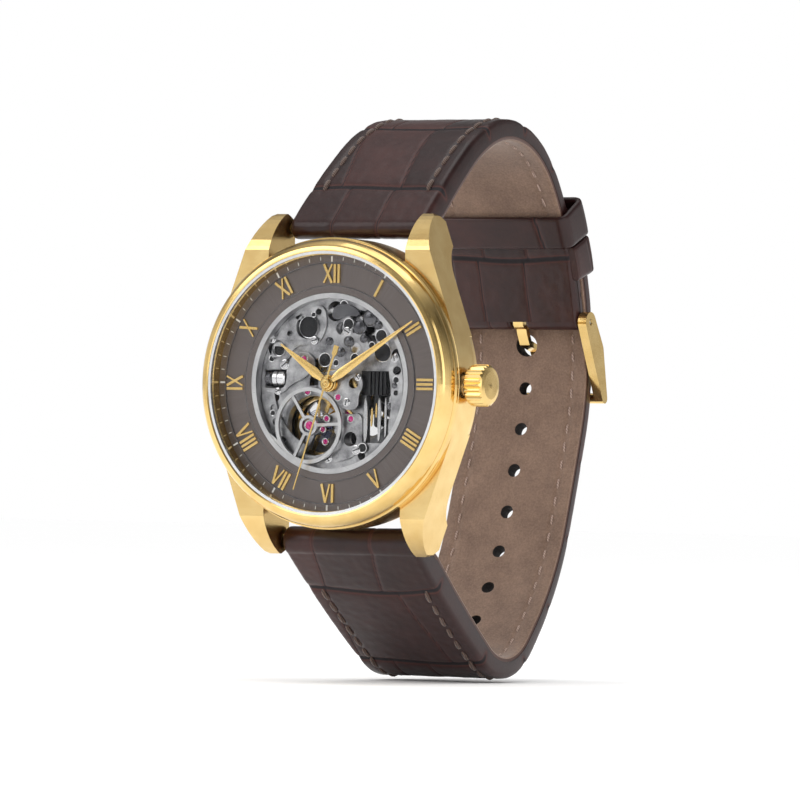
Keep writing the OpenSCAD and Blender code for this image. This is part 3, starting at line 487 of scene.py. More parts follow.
def slab(name, path, s_list, x_count, width, top, bottom, material, slot, holes=(), relief=None, edge_r=0.5,
         replaced=(), seam=None, seam_span=(0, 999), inset=0.0, wall_material=None, hole_material=None):
    """A strap layer: two matching grids, walls round the rim, and round holes through both."""
    ns = len(s_list)
    crease, tone = [], []
    tops, bottoms = [], []
    for s in s_list:
        w = table(s, width) / 2 - inset
        a, b = table(s, top), table(s, bottom)
        for j in range(x_count):
            q = -1 + 2 * j / (x_count - 1)
            x = math.copysign(1 - (1 - abs(q)) ** 1.18, q) * w
            rim = max(0.0, 1 - (w - abs(x)) / edge_r)
            drop = edge_r * (1 - math.sqrt(max(0.0, 1 - rim * rim))) * 0.9
            d = a + min(drop, (b - a) * 0.8)
            c = t = 0.0
            if relief:
                h, c, t = relief.look(s, x)
                d -= h * min(1.0, (w - abs(x)) / 0.5 + 0.25)
            if seam:
                ends = min(1.0, max(0.0, min(s - seam_span[0], seam_span[1] - s) / 1.5))
                d += 0.13 * ends * math.exp(-((abs(x) - (w - seam)) / 0.42) ** 2)
            tops.append(path(s, d, x))
            bottoms.append(path(s, b, x))
            crease.append(c)
            tone.append(t)
    verts = tops + bottoms
    half = len(tops)

    def idx(i, j, side):
        return side * half + i * x_count + j

    gone = set()
    for hole_s, hole_r in holes:
        for i in range(ns - 1):
            sm = (s_list[i] + s_list[i + 1]) / 2
            if abs(sm - hole_s) > hole_r + 1:
                continue
            for j in range(x_count - 1):
                xm = (verts[idx(i, j, 0)][0] + verts[idx(i, j + 1, 0)][0]) / 2
                if math.hypot(xm, sm - hole_s) < hole_r:
                    gone.add((i, j))
    snapped = set()
    for i, j in gone:
        for a, b in ((i, j), (i, j + 1), (i + 1, j), (i + 1, j + 1)):
            around = [(a - 1, b - 1), (a - 1, b), (a, b - 1), (a, b)]
            if (a, b) in snapped or all(c in gone for c in around):
                continue
            snapped.add((a, b))
            hole_s, hole_r = min(holes, key=lambda h: abs(h[0] - s_list[a]))
            x, ds = verts[idx(a, b, 0)][0], s_list[a] - hole_s
            k = hole_r / max(math.hypot(x, ds), 0.01)
            for side, depths, sink in ((0, top, 0.05), (1, bottom, 0)):
                d = table(s_list[a], depths) + sink
                verts[idx(a, b, side)] = path(hole_s + ds * k, d, x * k)
    faces, mats = [], []
    for i in range(ns - 1):
        for j in range(x_count - 1):
            if (i, j) in gone:
                continue
            faces.append((idx(i, j, 0), idx(i, j + 1, 0), idx(i + 1, j + 1, 0), idx(i + 1, j, 0)))
            faces.append((idx(i, j, 1), idx(i + 1, j, 1), idx(i + 1, j + 1, 1), idx(i, j + 1, 1)))
            mats += [0, 0]
            corners = [(i, j), (i, j + 1), (i + 1, j + 1), (i + 1, j)]
            for k, other in ((0, (i - 1, j)), (2, (i + 1, j)), (1, (i, j + 1)), (3, (i, j - 1))):
                out = not (0 <= other[0] < ns - 1 and 0 <= other[1] < x_count - 1)
                if out or other in gone:
                    p, q = corners[k], corners[(k + 1) % 4]
                    faces.append((idx(*p, 0), idx(*p, 1), idx(*q, 1), idx(*q, 0)))
                    mats.append(2 if other in gone else 1)
    extra = [wall_material or material, hole_material or material]
    o = make(name, verts, faces, material, "watch", slot, True, replaced, mats, extra)
    settle(o, 50, crease=crease + [0.0] * half, tone=tone + [0.0] * half)


def rows(a, b, step):
    n = max(2, round((b - a) / step))
    return [a + (b - a) * i / n for i in range(n + 1)]


def flipped(path_point, total):
    """The same path seen from its inner side: depth is counted from the inner surface outwards."""
    return lambda s, depth, x: path_point(s, table(s, total) - depth, x)


SPRING_WRAP_R = 1.414
WRAP_START = LL - 0.3


def upper_point(s, depth, x):
    """Before the path's start the leather wraps round the spring bar."""
    if s >= 0:
        return upper.point(s, depth, x)
    p = upper.at(0)
    a = math.atan2(p[1] - BAR[1], p[0] - BAR[0]) - s / SPRING_WRAP_R
    q = SPRING_WRAP_R - depth
    return (x, BAR[0] + q * math.cos(a), BAR[1] + q * math.sin(a))


def lower_point(s, depth, x):
    """Past the path's end the leather wraps round the other spring bar."""
    if s <= WRAP_START:
        return lower.point(s, depth, x)
    c = (BAR[0], -BAR[1])
    p = lower.at(WRAP_START)
    r = math.hypot(p[0] - c[0], p[1] - c[1])
    a = math.atan2(p[1] - c[1], p[0] - c[0]) - (s - WRAP_START) / r
    q = max(r - depth, 0.72)
    return (x, c[0] + q * math.cos(a), c[1] + q * math.sin(a))


FINE = 0.25
COLS = 92
SPLIT = 55.9    # where the upper lining meets the turned end
TONGUE_HOLE = 24.9
SPARE_HOLES = [(25.2 + 6.4 * i, 1.0) for i in range(1, 8)]
SEAM = 2.2
upper_scales = Scales([7.0, 23.0, 34.5, 45.5, 57.0, 66.5], 5, 10.8,
                      {0: [(-0.37, -0.37), (0.30, 0.30)], 1: [(-0.54, -0.76), (0.35, 0.21)],
                       2: [(-0.5, -0.35), (0.3, 0.42)]})
lower_scales = Scales([9.5, 20.5, 31.5, 43.0, 54.0, 65.5, 77.0, 90.0, LL - 8.5], 11, 10.8,
                      {8: [(-0.87, -0.73), (0.48, 0.35)], 9: [(-0.72, -0.53), (0.10, 0.33)]})
turn_scales = Scales([60.5], 3, 10.2, {0: [(-0.3, -0.4), (0.4, 0.3)], 1: [(-0.55, -0.50), (0.20, 0.22)]})

slab("upper_strap_leather", upper_point, rows(-4.3, UL - 0.2, FINE), COLS,
     [(-9, 21.6)] + upper_w, [(-9, 0), (UL, 0)],
     [(-9, 0.75), (-0.01, 0.75), (1.4, 2.25), (2.6, 3 - LINING_T), (5, 3.7 - LINING_T), (20, 3.3 - LINING_T),
      (45, 2.5 - LINING_T), (SPLIT, 2.44 - LINING_T), (SPLIT + 0.5, 1.25), (UL, 1.2)],
     CROC, "croc_leather", relief=upper_scales, edge_r=0.75, replaced=["upper_strap"], seam=SEAM,
     seam_span=(5.5, 200))
slab("lower_strap_leather", lower_point, rows(0.05, LL + 5.2, FINE), COLS,
     lower_w + [(LL + 9, 21.6)], [(0, 0), (LL + 9, 0)],
     [(0, TAIL_T - LINING_T), (55, TAIL_T - LINING_T), (85, 3 - LINING_T), (LL - 5, 3.7 - LINING_T),
      (LL - 2.6, 2.3), (LL - 1.4, 2.0), (LL - 0.31, 0.85), (LL + 9, 0.85)],
     CROC, "croc_leather", relief=lower_scales, edge_r=0.75, replaced=["lower_strap"], seam=SEAM,
     seam_span=(-9, LL - 8), hole_material=HOLE_WALL_SHADE, holes=[(TONGUE_HOLE, 1.65)] + SPARE_HOLES)
slab("upper_strap_lining", flipped(upper_point, upper_t), rows(2.0, SPLIT, 0.5), COLS // 2,
     upper_w, [(0, 0), (UL, 0)], [(0, LINING_T), (UL, LINING_T)], LINING, "lining_leather",
     edge_r=0.3, replaced=["upper_lining"], seam=SEAM, inset=0.06, wall_material=EDGE)
slab("lower_strap_lining", flipped(lower_point, lower_t), rows(0.1, LL - 1.6, 0.36), COLS,
     lower_w, [(0, 0), (LL, 0)], [(0, LINING_T), (LL, LINING_T)], LINING, "lining_leather",
     edge_r=0.3, replaced=["lower_lining"], seam=SEAM, inset=0.06, wall_material=EDGE, hole_material=HOLE_WALL_SHADE,
     holes=[(TONGUE_HOLE, 1.72)] + SPARE_HOLES)
slab("upper_strap_turned_end", flipped(upper_point, upper_t), rows(SPLIT + 0.02, UL - 0.2, FINE), COLS,
     upper_w, [(0, 0), (UL, 0)], [(0, 1.2), (UL, 1.2)], CROC, "croc_leather", relief=turn_scales,
     edge_r=0.6, inset=0.05)


def buckle_end():
    """The rounded end of the upper half round the buckle bar, with a slot for the tongue."""
    end_r = 1.2
    c = upper.at(UL - 0.2)
    centre = (c[0] + end_r * math.sin(c[2]), c[1] - end_r * math.cos(c[2]))
    scales = Scales([], 4, 10.2)
    around, cols = 14, 30
    verts, faces, crease, tone = [], [], [], []
    for x0, x1 in ((-9.88, -1.25), (1.25, 9.88)):
        k = len(verts)
        for i in range(around + 1):
            a = c[2] + math.pi / 2 - math.pi * i / around
            for j in range(cols + 1):
                x = x0 + (x1 - x0) * j / cols
                edge = min(x - x0, x1 - x)
                r = end_r - 0.35 * (1 - math.sqrt(max(0, 1 - max(0, 1 - edge / 0.4) ** 2)))
                h, cr, tn = scales.look(UL, x)
                r += h * 0.7
                verts.append([x, centre[0] + r * math.cos(a), centre[1] + r * math.sin(a)])
                crease.append(cr)
                tone.append(tn)
        for i in range(around):
            for j in range(cols):
                a = k + i * (cols + 1) + j
                faces.append((a, a + 1, a + cols + 2, a + cols + 1))
        for j in (0, cols):
            faces.append(tuple(k + i * (cols + 1) + j for i in range(around + 1)))
    o = make("upper_strap_buckle_end", verts, faces, CROC, "watch", "croc_leather")
    settle(o, 50, crease=crease, tone=tone)


buckle_end()


# ---------------------------------------------------------------- stitching

def stitches(name, point, s0, s1, width, length, r, depth, lift, material, slot):
    """Separate thread stitches in two rows, each a short bent tube that dips in at both ends."""
    gap, pitch = 2.25, 2.8
    sides, parts = 8, 7
    verts, faces = [], []
    for side in (-1, 1):
        for k in range(int((s1 - s0) / pitch)):
            a = s0 + k * pitch + random.uniform(-0.06, 0.06)
            skew = random.uniform(-0.07, 0.07) + 0.10 * side
            faces += tube(len(verts), sides, parts)
            for i in range(parts):
                f = i / (parts - 1)
                out = abs(2 * f - 1)
                s = a + f * length
                x = side * (table(s, width) / 2 - gap) + skew * (f - 0.5)
                high = lift * (1 - out ** 4) - 0.28 * out ** 5
                fat = r * (1 - 0.45 * out ** 3)
                for j in range(sides):
                    b = 2 * math.pi * j / sides
                    verts.append(point(s, depth - high - fat * math.sin(b), x + fat * math.cos(b)))
    settle(make(name, verts, faces, material, "watch", slot))


for name, point, s0, s1, width in (("upper_strap_stitches", upper_point, 6.5, UL - 18.5, upper_w),
                                   ("lower_strap_stitches", lower_point, 9.5, LL - 7.5, lower_w)):
    stitches(name, point, s0, s1, width, 2.6, 0.34, 0.08, 0.14, THREAD, "croc_leather")
for name, point, s0, s1, width in (
        ("upper_lining_stitches", flipped(upper_point, upper_t), 8.0, SPLIT - 1, upper_w),
        ("lower_lining_stitches", flipped(lower_point, lower_t), 9.0, LL - 9.0, lower_w)):
    stitches(name, point, s0, s1, width, 1.8, 0.17, 0.10, 0.06, THREAD_PALE, "lining_leather")


# ---------------------------------------------------------------- keepers

def keeper(name, angles, w_in, r_in, body, replaced, seed, open_ends):
    """A leather loop of rounded rectangular section, swept a few degrees about the bend's centre."""
    rng = random.Random(seed)
    corner, t = 1.5, 0.9
    hw, r0, r1 = w_in / 2 + t, r_in - t, tail_r + 0.15 + t
    outline = []
    centres = [(hw - corner, r1 - corner, 0), (-hw + corner, r1 - corner, 90),
               (-hw + corner, r0 + corner, 180), (hw - corner, r0 + corner, 270)]
    for i, (cx, cr, a0) in enumerate(centres):
        for k in range(9):
            a = math.radians(a0 + 90 * k / 8)
            outline.append((cx + corner * math.cos(a), cr + corner * math.sin(a), math.cos(a), math.sin(a)))
        nx, nr, _ = centres[(i + 1) % 4]
        c, s = math.cos(math.radians(a0 + 90)), math.sin(math.radians(a0 + 90))
        p = (cx + corner * c, cr + corner * s)
        q = (nx + corner * c, nr + corner * s)
        steps = max(2, int(math.hypot(q[0] - p[0], q[1] - p[1]) / 0.35))
        for k in range(1, steps):
            f = k / steps
            outline.append((p[0] + (q[0] - p[0]) * f, p[1] + (q[1] - p[1]) * f, c, s))
    if open_ends:
        outline = [p for p in outline if p[1] > r_in - 0.2]
        outline.sort(key=lambda p: math.atan2(p[1] - r_in - 2.0, p[0]))
    n = len(outline)
    across = 18
    cuts = [rng.uniform(0.12, 0.2), rng.uniform(0.42, 0.55), rng.uniform(0.78, 0.9)]
    verts, crease, tone = [], [], []
    mid = math.radians((angles[0] + angles[1]) / 2)
    half = math.radians((angles[1] - angles[0]) / 2)
    for inner in (0, 1):
        for i, (x, r, nx, nr) in enumerate(outline):
            for j in range(across + 1):
                q = -1 + 2 * j / across
                q = math.copysign(1 - (1 - abs(q)) ** 1.25, q)
                a = mid + q * half
                rim = max(0, abs(q) - 0.82) / 0.18
                rounding = 0.32 * (1 - math.sqrt(max(0, 1 - rim * rim)))
                c = 0.0
                if inner:
                    d = t * 0.92 - rounding
                else:
                    for cut in cuts:
                        u = abs(i / n - cut + 0.006 * q) * n * 0.35
                        c = max(c, math.exp(-(u / 0.30) ** 2))
                    d = rounding + 0.14 * c - 0.05 * (1 - q * q)
                rr = r - nr * d
                verts.append((x - nx * d, BEND[0] + rr * math.cos(a), BEND[1] + rr * math.sin(a)))
                crease.append(c)
                tone.append(0.5 + 0.4 * math.sin(seed + 7 * i / n))
    faces = []
    w = across + 1
    total = n * w
    for i in range(n - 1 if open_ends else n):
        k = (i + 1) % n
        for j in range(across):
            faces.append((i * w + j, i * w + j + 1, k * w + j + 1, k * w + j))
            faces.append((total + i * w + j, total + k * w + j, total + k * w + j + 1, total + i * w + j + 1))
        for j in (0, across):
            faces.append((i * w + j, k * w + j, total + k * w + j, total + i * w + j))
    if open_ends:
        for i in (0, n - 1):
            for j in range(across):
                faces.append((i * w + j, i * w + j + 1, total + i * w + j + 1, total + i * w + j))
    o = make(name, verts, faces, CROC, body, "croc_leather", replaced=replaced)
    settle(o, 50, crease=crease, tone=tone)


keeper("fixed_keeper_leather", (17.8, 24.0), 19.9, BEND_R - 2.2, "watch", ["fixed_keeper"], 2, True)
keeper("free_keeper_leather", (24.3, 30.6), 20.1, BEND_R - 2.65, "sliding_keeper", ["free_keeper"], 4, False)


# ---------------------------------------------------------------- hands, ticks and dial details

def dauphine(name, angle, length, width, h, collar, body, replaced):
    """A hand of two slopes meeting in a ridge, with a collar round its arbor."""
    low, high, wide = h, h + 0.15, width / 2
    outline = toward(angle, [(0.6, -0.34), (2.6, -wide), (length, -0.09), (length + 0.08, 0), (length, 0.09),
                             (2.6, wide), (0.6, 0.34)])
    ridge = toward(angle, [(0.6, 0), (2.6, 0), (length, 0)])
    b = Build()
    b.v = [dialxy(x, y, z) for z in (low, low + 0.04) for x, y in outline]
    b.v += [dialxy(x, y, z) for (x, y), z in zip(ridge, (high, high, low + 0.09))]
    n = len(outline)
    r0, r1, r2 = 2 * n, 2 * n + 1, 2 * n + 2
    b.f = [tuple(reversed(range(n)))]
    b.f += [(i, (i + 1) % n, n + (i + 1) % n, n + i) for i in range(n)]
    b.f += [(n, n + 1, r1, r0), (n + 1, n + 2, r2, r1), (n + 2, n + 3, r2), (n + 3, n + 4, r2),
            (n + 4, n + 5, r1, r2), (n + 5, n + 6, r0, r1), (n + 6, n, r0)]
    b.lathe(0, 0, [(collar * 0.55, low), (collar, low), (collar, high - 0.02), (collar - 0.1, high + 0.05),
                   (collar * 0.62, high + 0.05), (collar * 0.55, high), (collar * 0.55, low)], 56)
    b.object(name, GOLD_HAND, body, "gold_polished", True, [replaced])


dauphine("hour_hand_faceted", 304.8, 9.5, 1.42, 9.35, 1.2, "hour", "hour_hand")
dauphine("minute_hand_faceted", 57.0, 16.0, 1.30, 9.7, 1.0, "minute", "minute_hand")


def seconds_hand():
    b = Build()
    for outline, h0, h1, chamfer in (
            ([(-4.6, -0.15), (15.6, -0.085), (15.7, 0), (15.6, 0.085), (-4.6, 0.15)], 10.05, 10.17, 0.03),
            ([(-5.5, -0.40), (-4.3, -0.40), (-3.9, -0.15), (-3.9, 0.15), (-4.3, 0.40), (-5.5, 0.40)],
             10.04, 10.19, 0.05)):
        b.prism(toward(198.0, outline), h0, h1, chamfer)
    b.lathe(0, 0, [(0.02, 9.42), (0.24, 9.42), (0.24, 10.0), (0.7, 10.0), (0.7, 10.22), (0.6, 10.30),
                   (0.42, 10.30), (0.36, 10.26), (0.24, 10.26), (0.20, 10.32), (0.0, 10.34)])
    b.object("seconds_hand_faceted", GOLD_HAND, "seconds", "gold_polished", True, ["seconds_hand"])


seconds_hand()


def dial_marks():
    """The minute ticks and the fine bright lines between the dial's steps."""
    ticks, lines = Build(), Build()
    for i in range(60):
        r0, r1, w = (17.2, 17.66, 0.05) if i % 5 else (16.95, 17.72, 0.12)
        ticks.prism(toward(6 * i, [(r0, -w), (r1, -w), (r1, w), (r0, w)]), 8.99, 9.035, 0.01)
    ticks.object("minute_ticks", WHITE, "watch", "steel_polished", False)
    for r in (16.84, 13.62):
        lines.lathe(0, 0, [(r - 0.05, 8.95), (r - 0.05, 9.01), (r + 0.04, 9.01), (r + 0.04, 8.95),
                           (r - 0.05, 8.95)], 180)
    lines.object("dial_step_lines", DARK_STEEL_AND_SHADE, "watch", "dial_dark")


dial_marks()

# The sharp edges of some CAD pieces are rounded by these widths
for name, width in (("hour_numerals", 0.05), ("case_middle", 0.16), ("buckle_frame", 0.14),
                    ("buckle_tongue", 0.1), ("crown", 0.07), ("case_back", 0.12), ("skeleton_rim", 0.05),
                    ("main_plate", 0.07), ("keyless_cover", 0.05), ("balance_wheel", 0.05),
                    ("movement_screws", 0.04)):
    b = nodes[name].modifiers.new("edges", "BEVEL")
    b.width = width * MM
    b.segments = 2
    b.limit_method = "ANGLE"
    b.angle_limit = math.radians(35)
    b.harden_normals = True


# ---------------------------------------------------------------- movement details seen through the opening

def circle(x, y, r, n=36):
    return [(x + r * math.cos(2 * math.pi * i / n), y + r * math.sin(2 * math.pi * i / n)) for i in range(n)]


def smooth_loop(points, rounds):
    """Rounds a polygon's corners by cutting them again and again."""
    for _ in range(rounds):
        points = [q for a, b in zip(points, points[1:] + points[:1])
                  for q in ((a[0] * 0.75 + b[0] * 0.25, a[1] * 0.75 + b[1] * 0.25),
                            (a[0] * 0.25 + b[0] * 0.75, a[1] * 0.25 + b[1] * 0.75))]
    return points


def plate(name, loops, h0, h1, material, slot, bevel):
    """A flat plate with holes and polished chamfers; the first loop is its outline."""
    curve = bpy.data.curves.new(name, "CURVE")
    curve.dimensions = "2D"
    curve.fill_mode = "BOTH"
    curve.extrude = (h1 - h0) / 2 - bevel
    curve.bevel_depth = bevel
    curve.bevel_resolution = 1
    curve.offset = -bevel
    for loop in loops:
        s = curve.splines.new("POLY")
        s.points.add(len(loop) - 1)
        for p, (x, y) in zip(s.points, loop):
            p.co = (x, y, 0, 1)
        s.use_cyclic_u = True
    temp = bpy.data.objects.new(name + "_curve", curve)
    bpy.context.scene.collection.objects.link(temp)
    me = bpy.data.meshes.new_from_object(temp)
    bpy.data.objects.remove(temp)
    mid = (h0 + h1) / 2
    verts = [dialxy(v.co.x, v.co.y, mid + v.co.z) for v in me.vertices]
    faces = [tuple(p.vertices) for p in me.polygons]
    bpy.data.meshes.remove(me)
    settle(make(name, verts, faces, material, "watch", slot), 25)


def sector(r0, r1, a0, a1, n=24):
    """An outline between two radii and two clock angles."""
    out = [clock(a0 + (a1 - a0) * i / n, r1) for i in range(n + 1)]
    return out + [clock(a1 - (a1 - a0) * i / n, r0) for i in range(n + 1)]


def gear_outline(x, y, r, teeth=44, depth=0.2):
    out = []
    for i in range(teeth):
        for f, q in ((0.0, r - depth), (0.28, r - depth), (0.42, r), (0.68, r), (0.82, r - depth)):
            a = 2 * math.pi * (i + f) / teeth
            out.append((x + q * math.cos(a), y + q * math.sin(a)))
    return out


PLATE_TOP = 7.62    # the main plate's dial side, above the case back
# Each row: name, outline, its rounds of corner cutting, holes, bottom and top, and material
PLATES = (
    ("upper_left_bridge",
     [(-10.6, 3.2), (-9.3, 6.8), (-6.6, 9.4), (-2.4, 11.3), (-1.2, 9.9), (-1.4, 7.2), (-2.6, 5.4),
      (-6.4, 5.3), (-7.3, 3.0)], 3,
     [(-4.45, 7.9, 1.7), (-9.0, 4.7, 0.95), (-7.2, 7.0, 0.42), (-5.9, 9.35, 0.42), (-2.6, 10.0, 0.45)],
     PLATE_TOP, 7.92, BRIDGE),
    ("centre_cover",
     [(-1.9, 1.2), (0.6, 2.0), (2.4, 1.5), (4.9, 1.3), (5.3, -0.4), (4.5, -1.6), (4.6, -3.2), (3.0, -3.9),
      (1.2, -2.9), (-0.6, -2.3), (-2.0, -1.1)], 3,
     [(0, 0, 1.12), (3.7, 0.1, 0.75), (1.2, -1.9, 0.55)], 8.5, 8.7, BRIDGE),
    ("lower_right_bridge",
     [(0.9, -4.0), (2.6, -4.3), (4.6, -3.9), (5.0, -6.4), (4.6, -9.6), (1.6, -10.9), (-0.9, -11.1),
      (-0.2, -9.6), (1.6, -8.9), (1.5, -7.9), (0.2, -6.9), (0.5, -5.3)], 3,
     [(2.9, -7.7, 1.0), (2.9, -4.9, 0.5), (1.2, -6.3, 0.42)], PLATE_TOP, 7.95, PLATE),
    # Painted shade: a dark sheet lying where the plate is sunk.
    ("kidney_recess_shade",
     [(-0.5, 9.0), (0.9, 8.9), (2.2, 9.5), (3.6, 9.3), (4.1, 10.0), (2.9, 10.9), (0.9, 11.3), (-0.4, 10.5)], 3,
     [], PLATE_TOP, 7.86, DARK_STEEL_AND_SHADE),
    ("left_bridge",
     [(-10.9, -1.3), (-8.2, -1.6), (-6.9, -0.2), (-5.0, 0.5), (-2.6, 2.3), (-3.6, 4.3), (-6.4, 4.4),
      (-7.6, 2.2), (-7.5, 1.0), (-7.9, -0.9), (-10.9, -0.9)], 3,
     [(-4.85, 3.4, 0.62)], PLATE_TOP, 7.98, BRIDGE),
    ("rim_bridge_left", sector(9.6, 11.75, 206, 262), 1,
     [(-9.6, -3.5, 0.5), (-9.2, -5.4, 0.5), (-7.9, -7.9, 0.45)], PLATE_TOP, 7.9, PLATE),
    ("right_lever_bridge",
     [(8.9, 2.6), (9.9, 4.9), (10.9, 3.2), (11.3, 0.0), (10.9, -4.2), (9.3, -7.6), (8.8, -6.2), (9.4, -3.4),
      (9.2, -0.2), (8.9, 1.4)], 3,
     [(10.2, 1.9, 0.6), (10.1, -1.2, 0.35)], PLATE_TOP, 7.98, BRIDGE),
)
for name, outline, rounds, holes, h0, h1, material in PLATES:
    loops = [smooth_loop(outline, rounds)] + [circle(*hole) for hole in holes]
    slot, bevel = ("steel_brushed", 0.1) if material is DARK_STEEL_AND_SHADE else ("plate_grey", 0.07)
    plate(name, loops, h0, h1, material, slot, bevel)
for i, (x0, x1, y0, y1, h) in enumerate(((5.0, 5.55, -8.0, -2.1, 8.0), (7.35, 7.75, -7.9, -2.0, 8.15),
                                         (8.3, 8.55, -7.4, -1.9, 7.9))):
    outline = [(x0, y0), (x1, y0), (x1 + 0.1, (y0 + y1) / 2), (x1, y1), (x0, y1)]
    plate(f"lever_bar_{i + 1}", [smooth_loop(outline, 2)], h - 0.3, h, STEEL, "steel_polished", 0.05)
for i, outline in enumerate(([(6.0, -5.9), (6.3, -5.9), (6.45, -3.4), (6.1, -3.2)],
                             [(6.75, -4.6), (7.05, -4.7), (7.1, -2.7), (6.8, -2.6)],
                             [(2.2, -3.2), (3.3, -4.2), (3.1, -4.5), (1.9, -3.5)])):
    plate(f"gold_accent_{i + 1}", [smooth_loop(outline, 1)], PLATE_TOP, 7.8, BRASS, "brass_gear", 0.04)
for i, (x, y, r, hole_r) in enumerate(((-5.6, 6.5, 2.75, 1.9), (-0.6, 8.2, 2.5, 1.7))):
    plate(f"visible_wheel_{i + 1}", [gear_outline(x, y, r), circle(x, y, hole_r)], 6.9, 7.1, STEEL,
          "steel_polished", 0.03)


# Each row: x, y, the plate's height there and the radius
JEWELS = (
    (-4.85, 3.4, 7.98, 0.40), (1.2, -1.9, 8.7, 0.40), (2.9, -4.9, 7.95, 0.38), (1.2, -6.3, 7.95, 0.33),
    (-1.75, -6.4, 7.62, 0.34), (-1.2, -4.9, 7.62, 0.36), (-3.3, -5.9, 8.72, 0.60), (-1.5, -8.1, 7.3, 0.34),
    (-4.35, -1.16, 7.62, 0.40),
)


def jewels():
    """Jewels in polished settings."""
    settings, rubies = Build(), Build()
    for x, y, h, r in JEWELS:
        settings.lathe(x, y, [(r, h - 0.3), (r, h - 0.04), (r + 0.06, h + 0.02), (r + 0.17, h + 0.02),
                              (r + 0.21, h - 0.03), (r + 0.21, h - 0.3)], 36)
        rubies.lathe(x, y, [(0.07, h - 0.25), (0.07, h - 0.10), (0.12, h - 0.05), (r * 0.6, h - 0.03),
                            (r, h - 0.12), (r, h - 0.25)], 36)
    settings.object("jewel_settings", STEEL, "watch", "steel_polished")
    rubies.object("visible_jewels", RUBY, "watch", "ruby")


# Each row: x, y, height, radius and the slot's angle
SCREWS = (
    (-7.9, 2.6, 7.98, 0.55, 40), (2.65, -2.6, 8.7, 0.42, 75), (-0.6, -10.4, 7.95, 0.5, 120),
    (3.9, -9.2, 7.95, 0.5, 20), (-10.2, 6.1, 7.62, 0.4, 80), (4.4, 0.9, 8.7, 0.33, 130),
    (-3.2, 6.0, 7.92, 0.4, 15), (10.4, -5.0, 7.62, 0.42, 60), (9.8, 3.6, 7.98, 0.4, 100),
    (-8.9, -1.15, 7.98, 0.33, 30), (1.9, 7.3, 7.62, 0.45, 150), (-9.9, -6.6, 7.62, 0.36, 10),
)


def screws():
    """Screws whose slots are black bars of painted shade."""
    heads, slot_shades = Build(), Build()
    for x, y, h, r, angle in SCREWS:
        heads.lathe(x, y, [(r + 0.16, h - 0.1), (r + 0.16, h + 0.03), (r + 0.05, h + 0.06),
                           (r + 0.04, h - 0.05), (r, h - 0.05), (r, h + 0.12), (r - 0.08, h + 0.19),
                           (0.0, h + 0.20)], 32)
        c, s, half = math.cos(math.radians(angle)), math.sin(math.radians(angle)), r * 0.96
        corners = ((-half, -0.07), (half, -0.07), (half, 0.07), (-half, 0.07))
        slot_shades.prism([(x + c * l - s * w, y + s * l + c * w) for l, w in corners], h + 0.1, h + 0.212, 0.005)
    heads.object("visible_screws", STEEL, "watch", "steel_polished")
    slot_shades.object("screw_slot_shades", BLACK_AND_SHADE, "watch", "black_metal", False)


# Each row: x, y, height and radius of a sunk hole's black disc of painted shade
RECESS_SHADES = (
    (1.3, 11.0, 7.62, 0.55), (2.1, 8.3, 7.62, 0.75), (7.4, 6.7, 7.62, 0.85), (7.7, 4.4, 7.62, 1.25),
    (-9.0, 4.7, 7.62, 0.85), (-10.2, 3.4, 7.62, 0.38), (-4.45, 7.9, 7.3, 1.5), (-1.6, 3.3, 7.62, 0.9),
    (-9.7, -4.2, 7.9, 0.34), (4.9, -8.9, 7.95, 0.6), (3.2, 3.6, 7.62, 0.6), (0.2, 2.9, 7.62, 0.4),
    (10.1, 0.6, 7.98, 0.42), (9.6, -6.2, 7.62, 0.4), (-3.4, 9.6, 7.92, 0.3), (5.9, 5.4, 7.62, 0.42),
)


def recess_shades():
    """Sunk holes in the plates as black discs of painted shade, with polished chamfers."""
    holes, chamfers = Build(), Build()
    for x, y, h, r in RECESS_SHADES:
        holes.lathe(x, y, [(r, h + 0.004), (r * 0.98, h + 0.012), (0.0, h + 0.014)], 36)
        chamfers.lathe(x, y, [(r + 0.02, h - 0.05), (r + 0.13, h - 0.05), (r + 0.12, h + 0.035),
                              (r + 0.06, h + 0.04), (r + 0.005, h + 0.016), (r + 0.02, h - 0.05)], 36)
    holes.object("plate_recess_shades", BLACK_AND_SHADE, "watch", "black_metal")
    chamfers.object("plate_recess_chamfers", STEEL, "watch", "steel_polished")


# Each row: x, y, height and radius
DOMES = (
    (3.9, 7.9, 7.6, 0.95), (5.6, 9.2, 7.6, 1.15), (2.2, 5.9, 7.62, 0.7), (4.6, 6.3, 7.62, 0.5),
    (6.9, 8.2, 7.6, 0.55), (8.9, -3.0, 7.6, 0.4), (9.9, -0.2, 7.98, 0.33), (0.9, 4.4, 7.62, 0.62),
    (-0.9, 5.9, 7.62, 0.5),
)


def domes():
    """Polished domes on the plates, in the darkened steel as painted shade."""
    b = Build()
    for x, y, h, r in DOMES:
        angles = [math.radians(k) for k in range(10, 91, 10)]
        b.lathe(x, y, [(r + 0.1, h - 0.05), (r + 0.1, h + 0.08), (r * 0.98, h + 0.12)]
                + [(r * math.cos(a), h + 0.12 + 0.42 * r * math.sin(a)) for a in angles], 40)
    b.object("polished_domes", DARK_STEEL_AND_SHADE, "watch", "steel_polished")


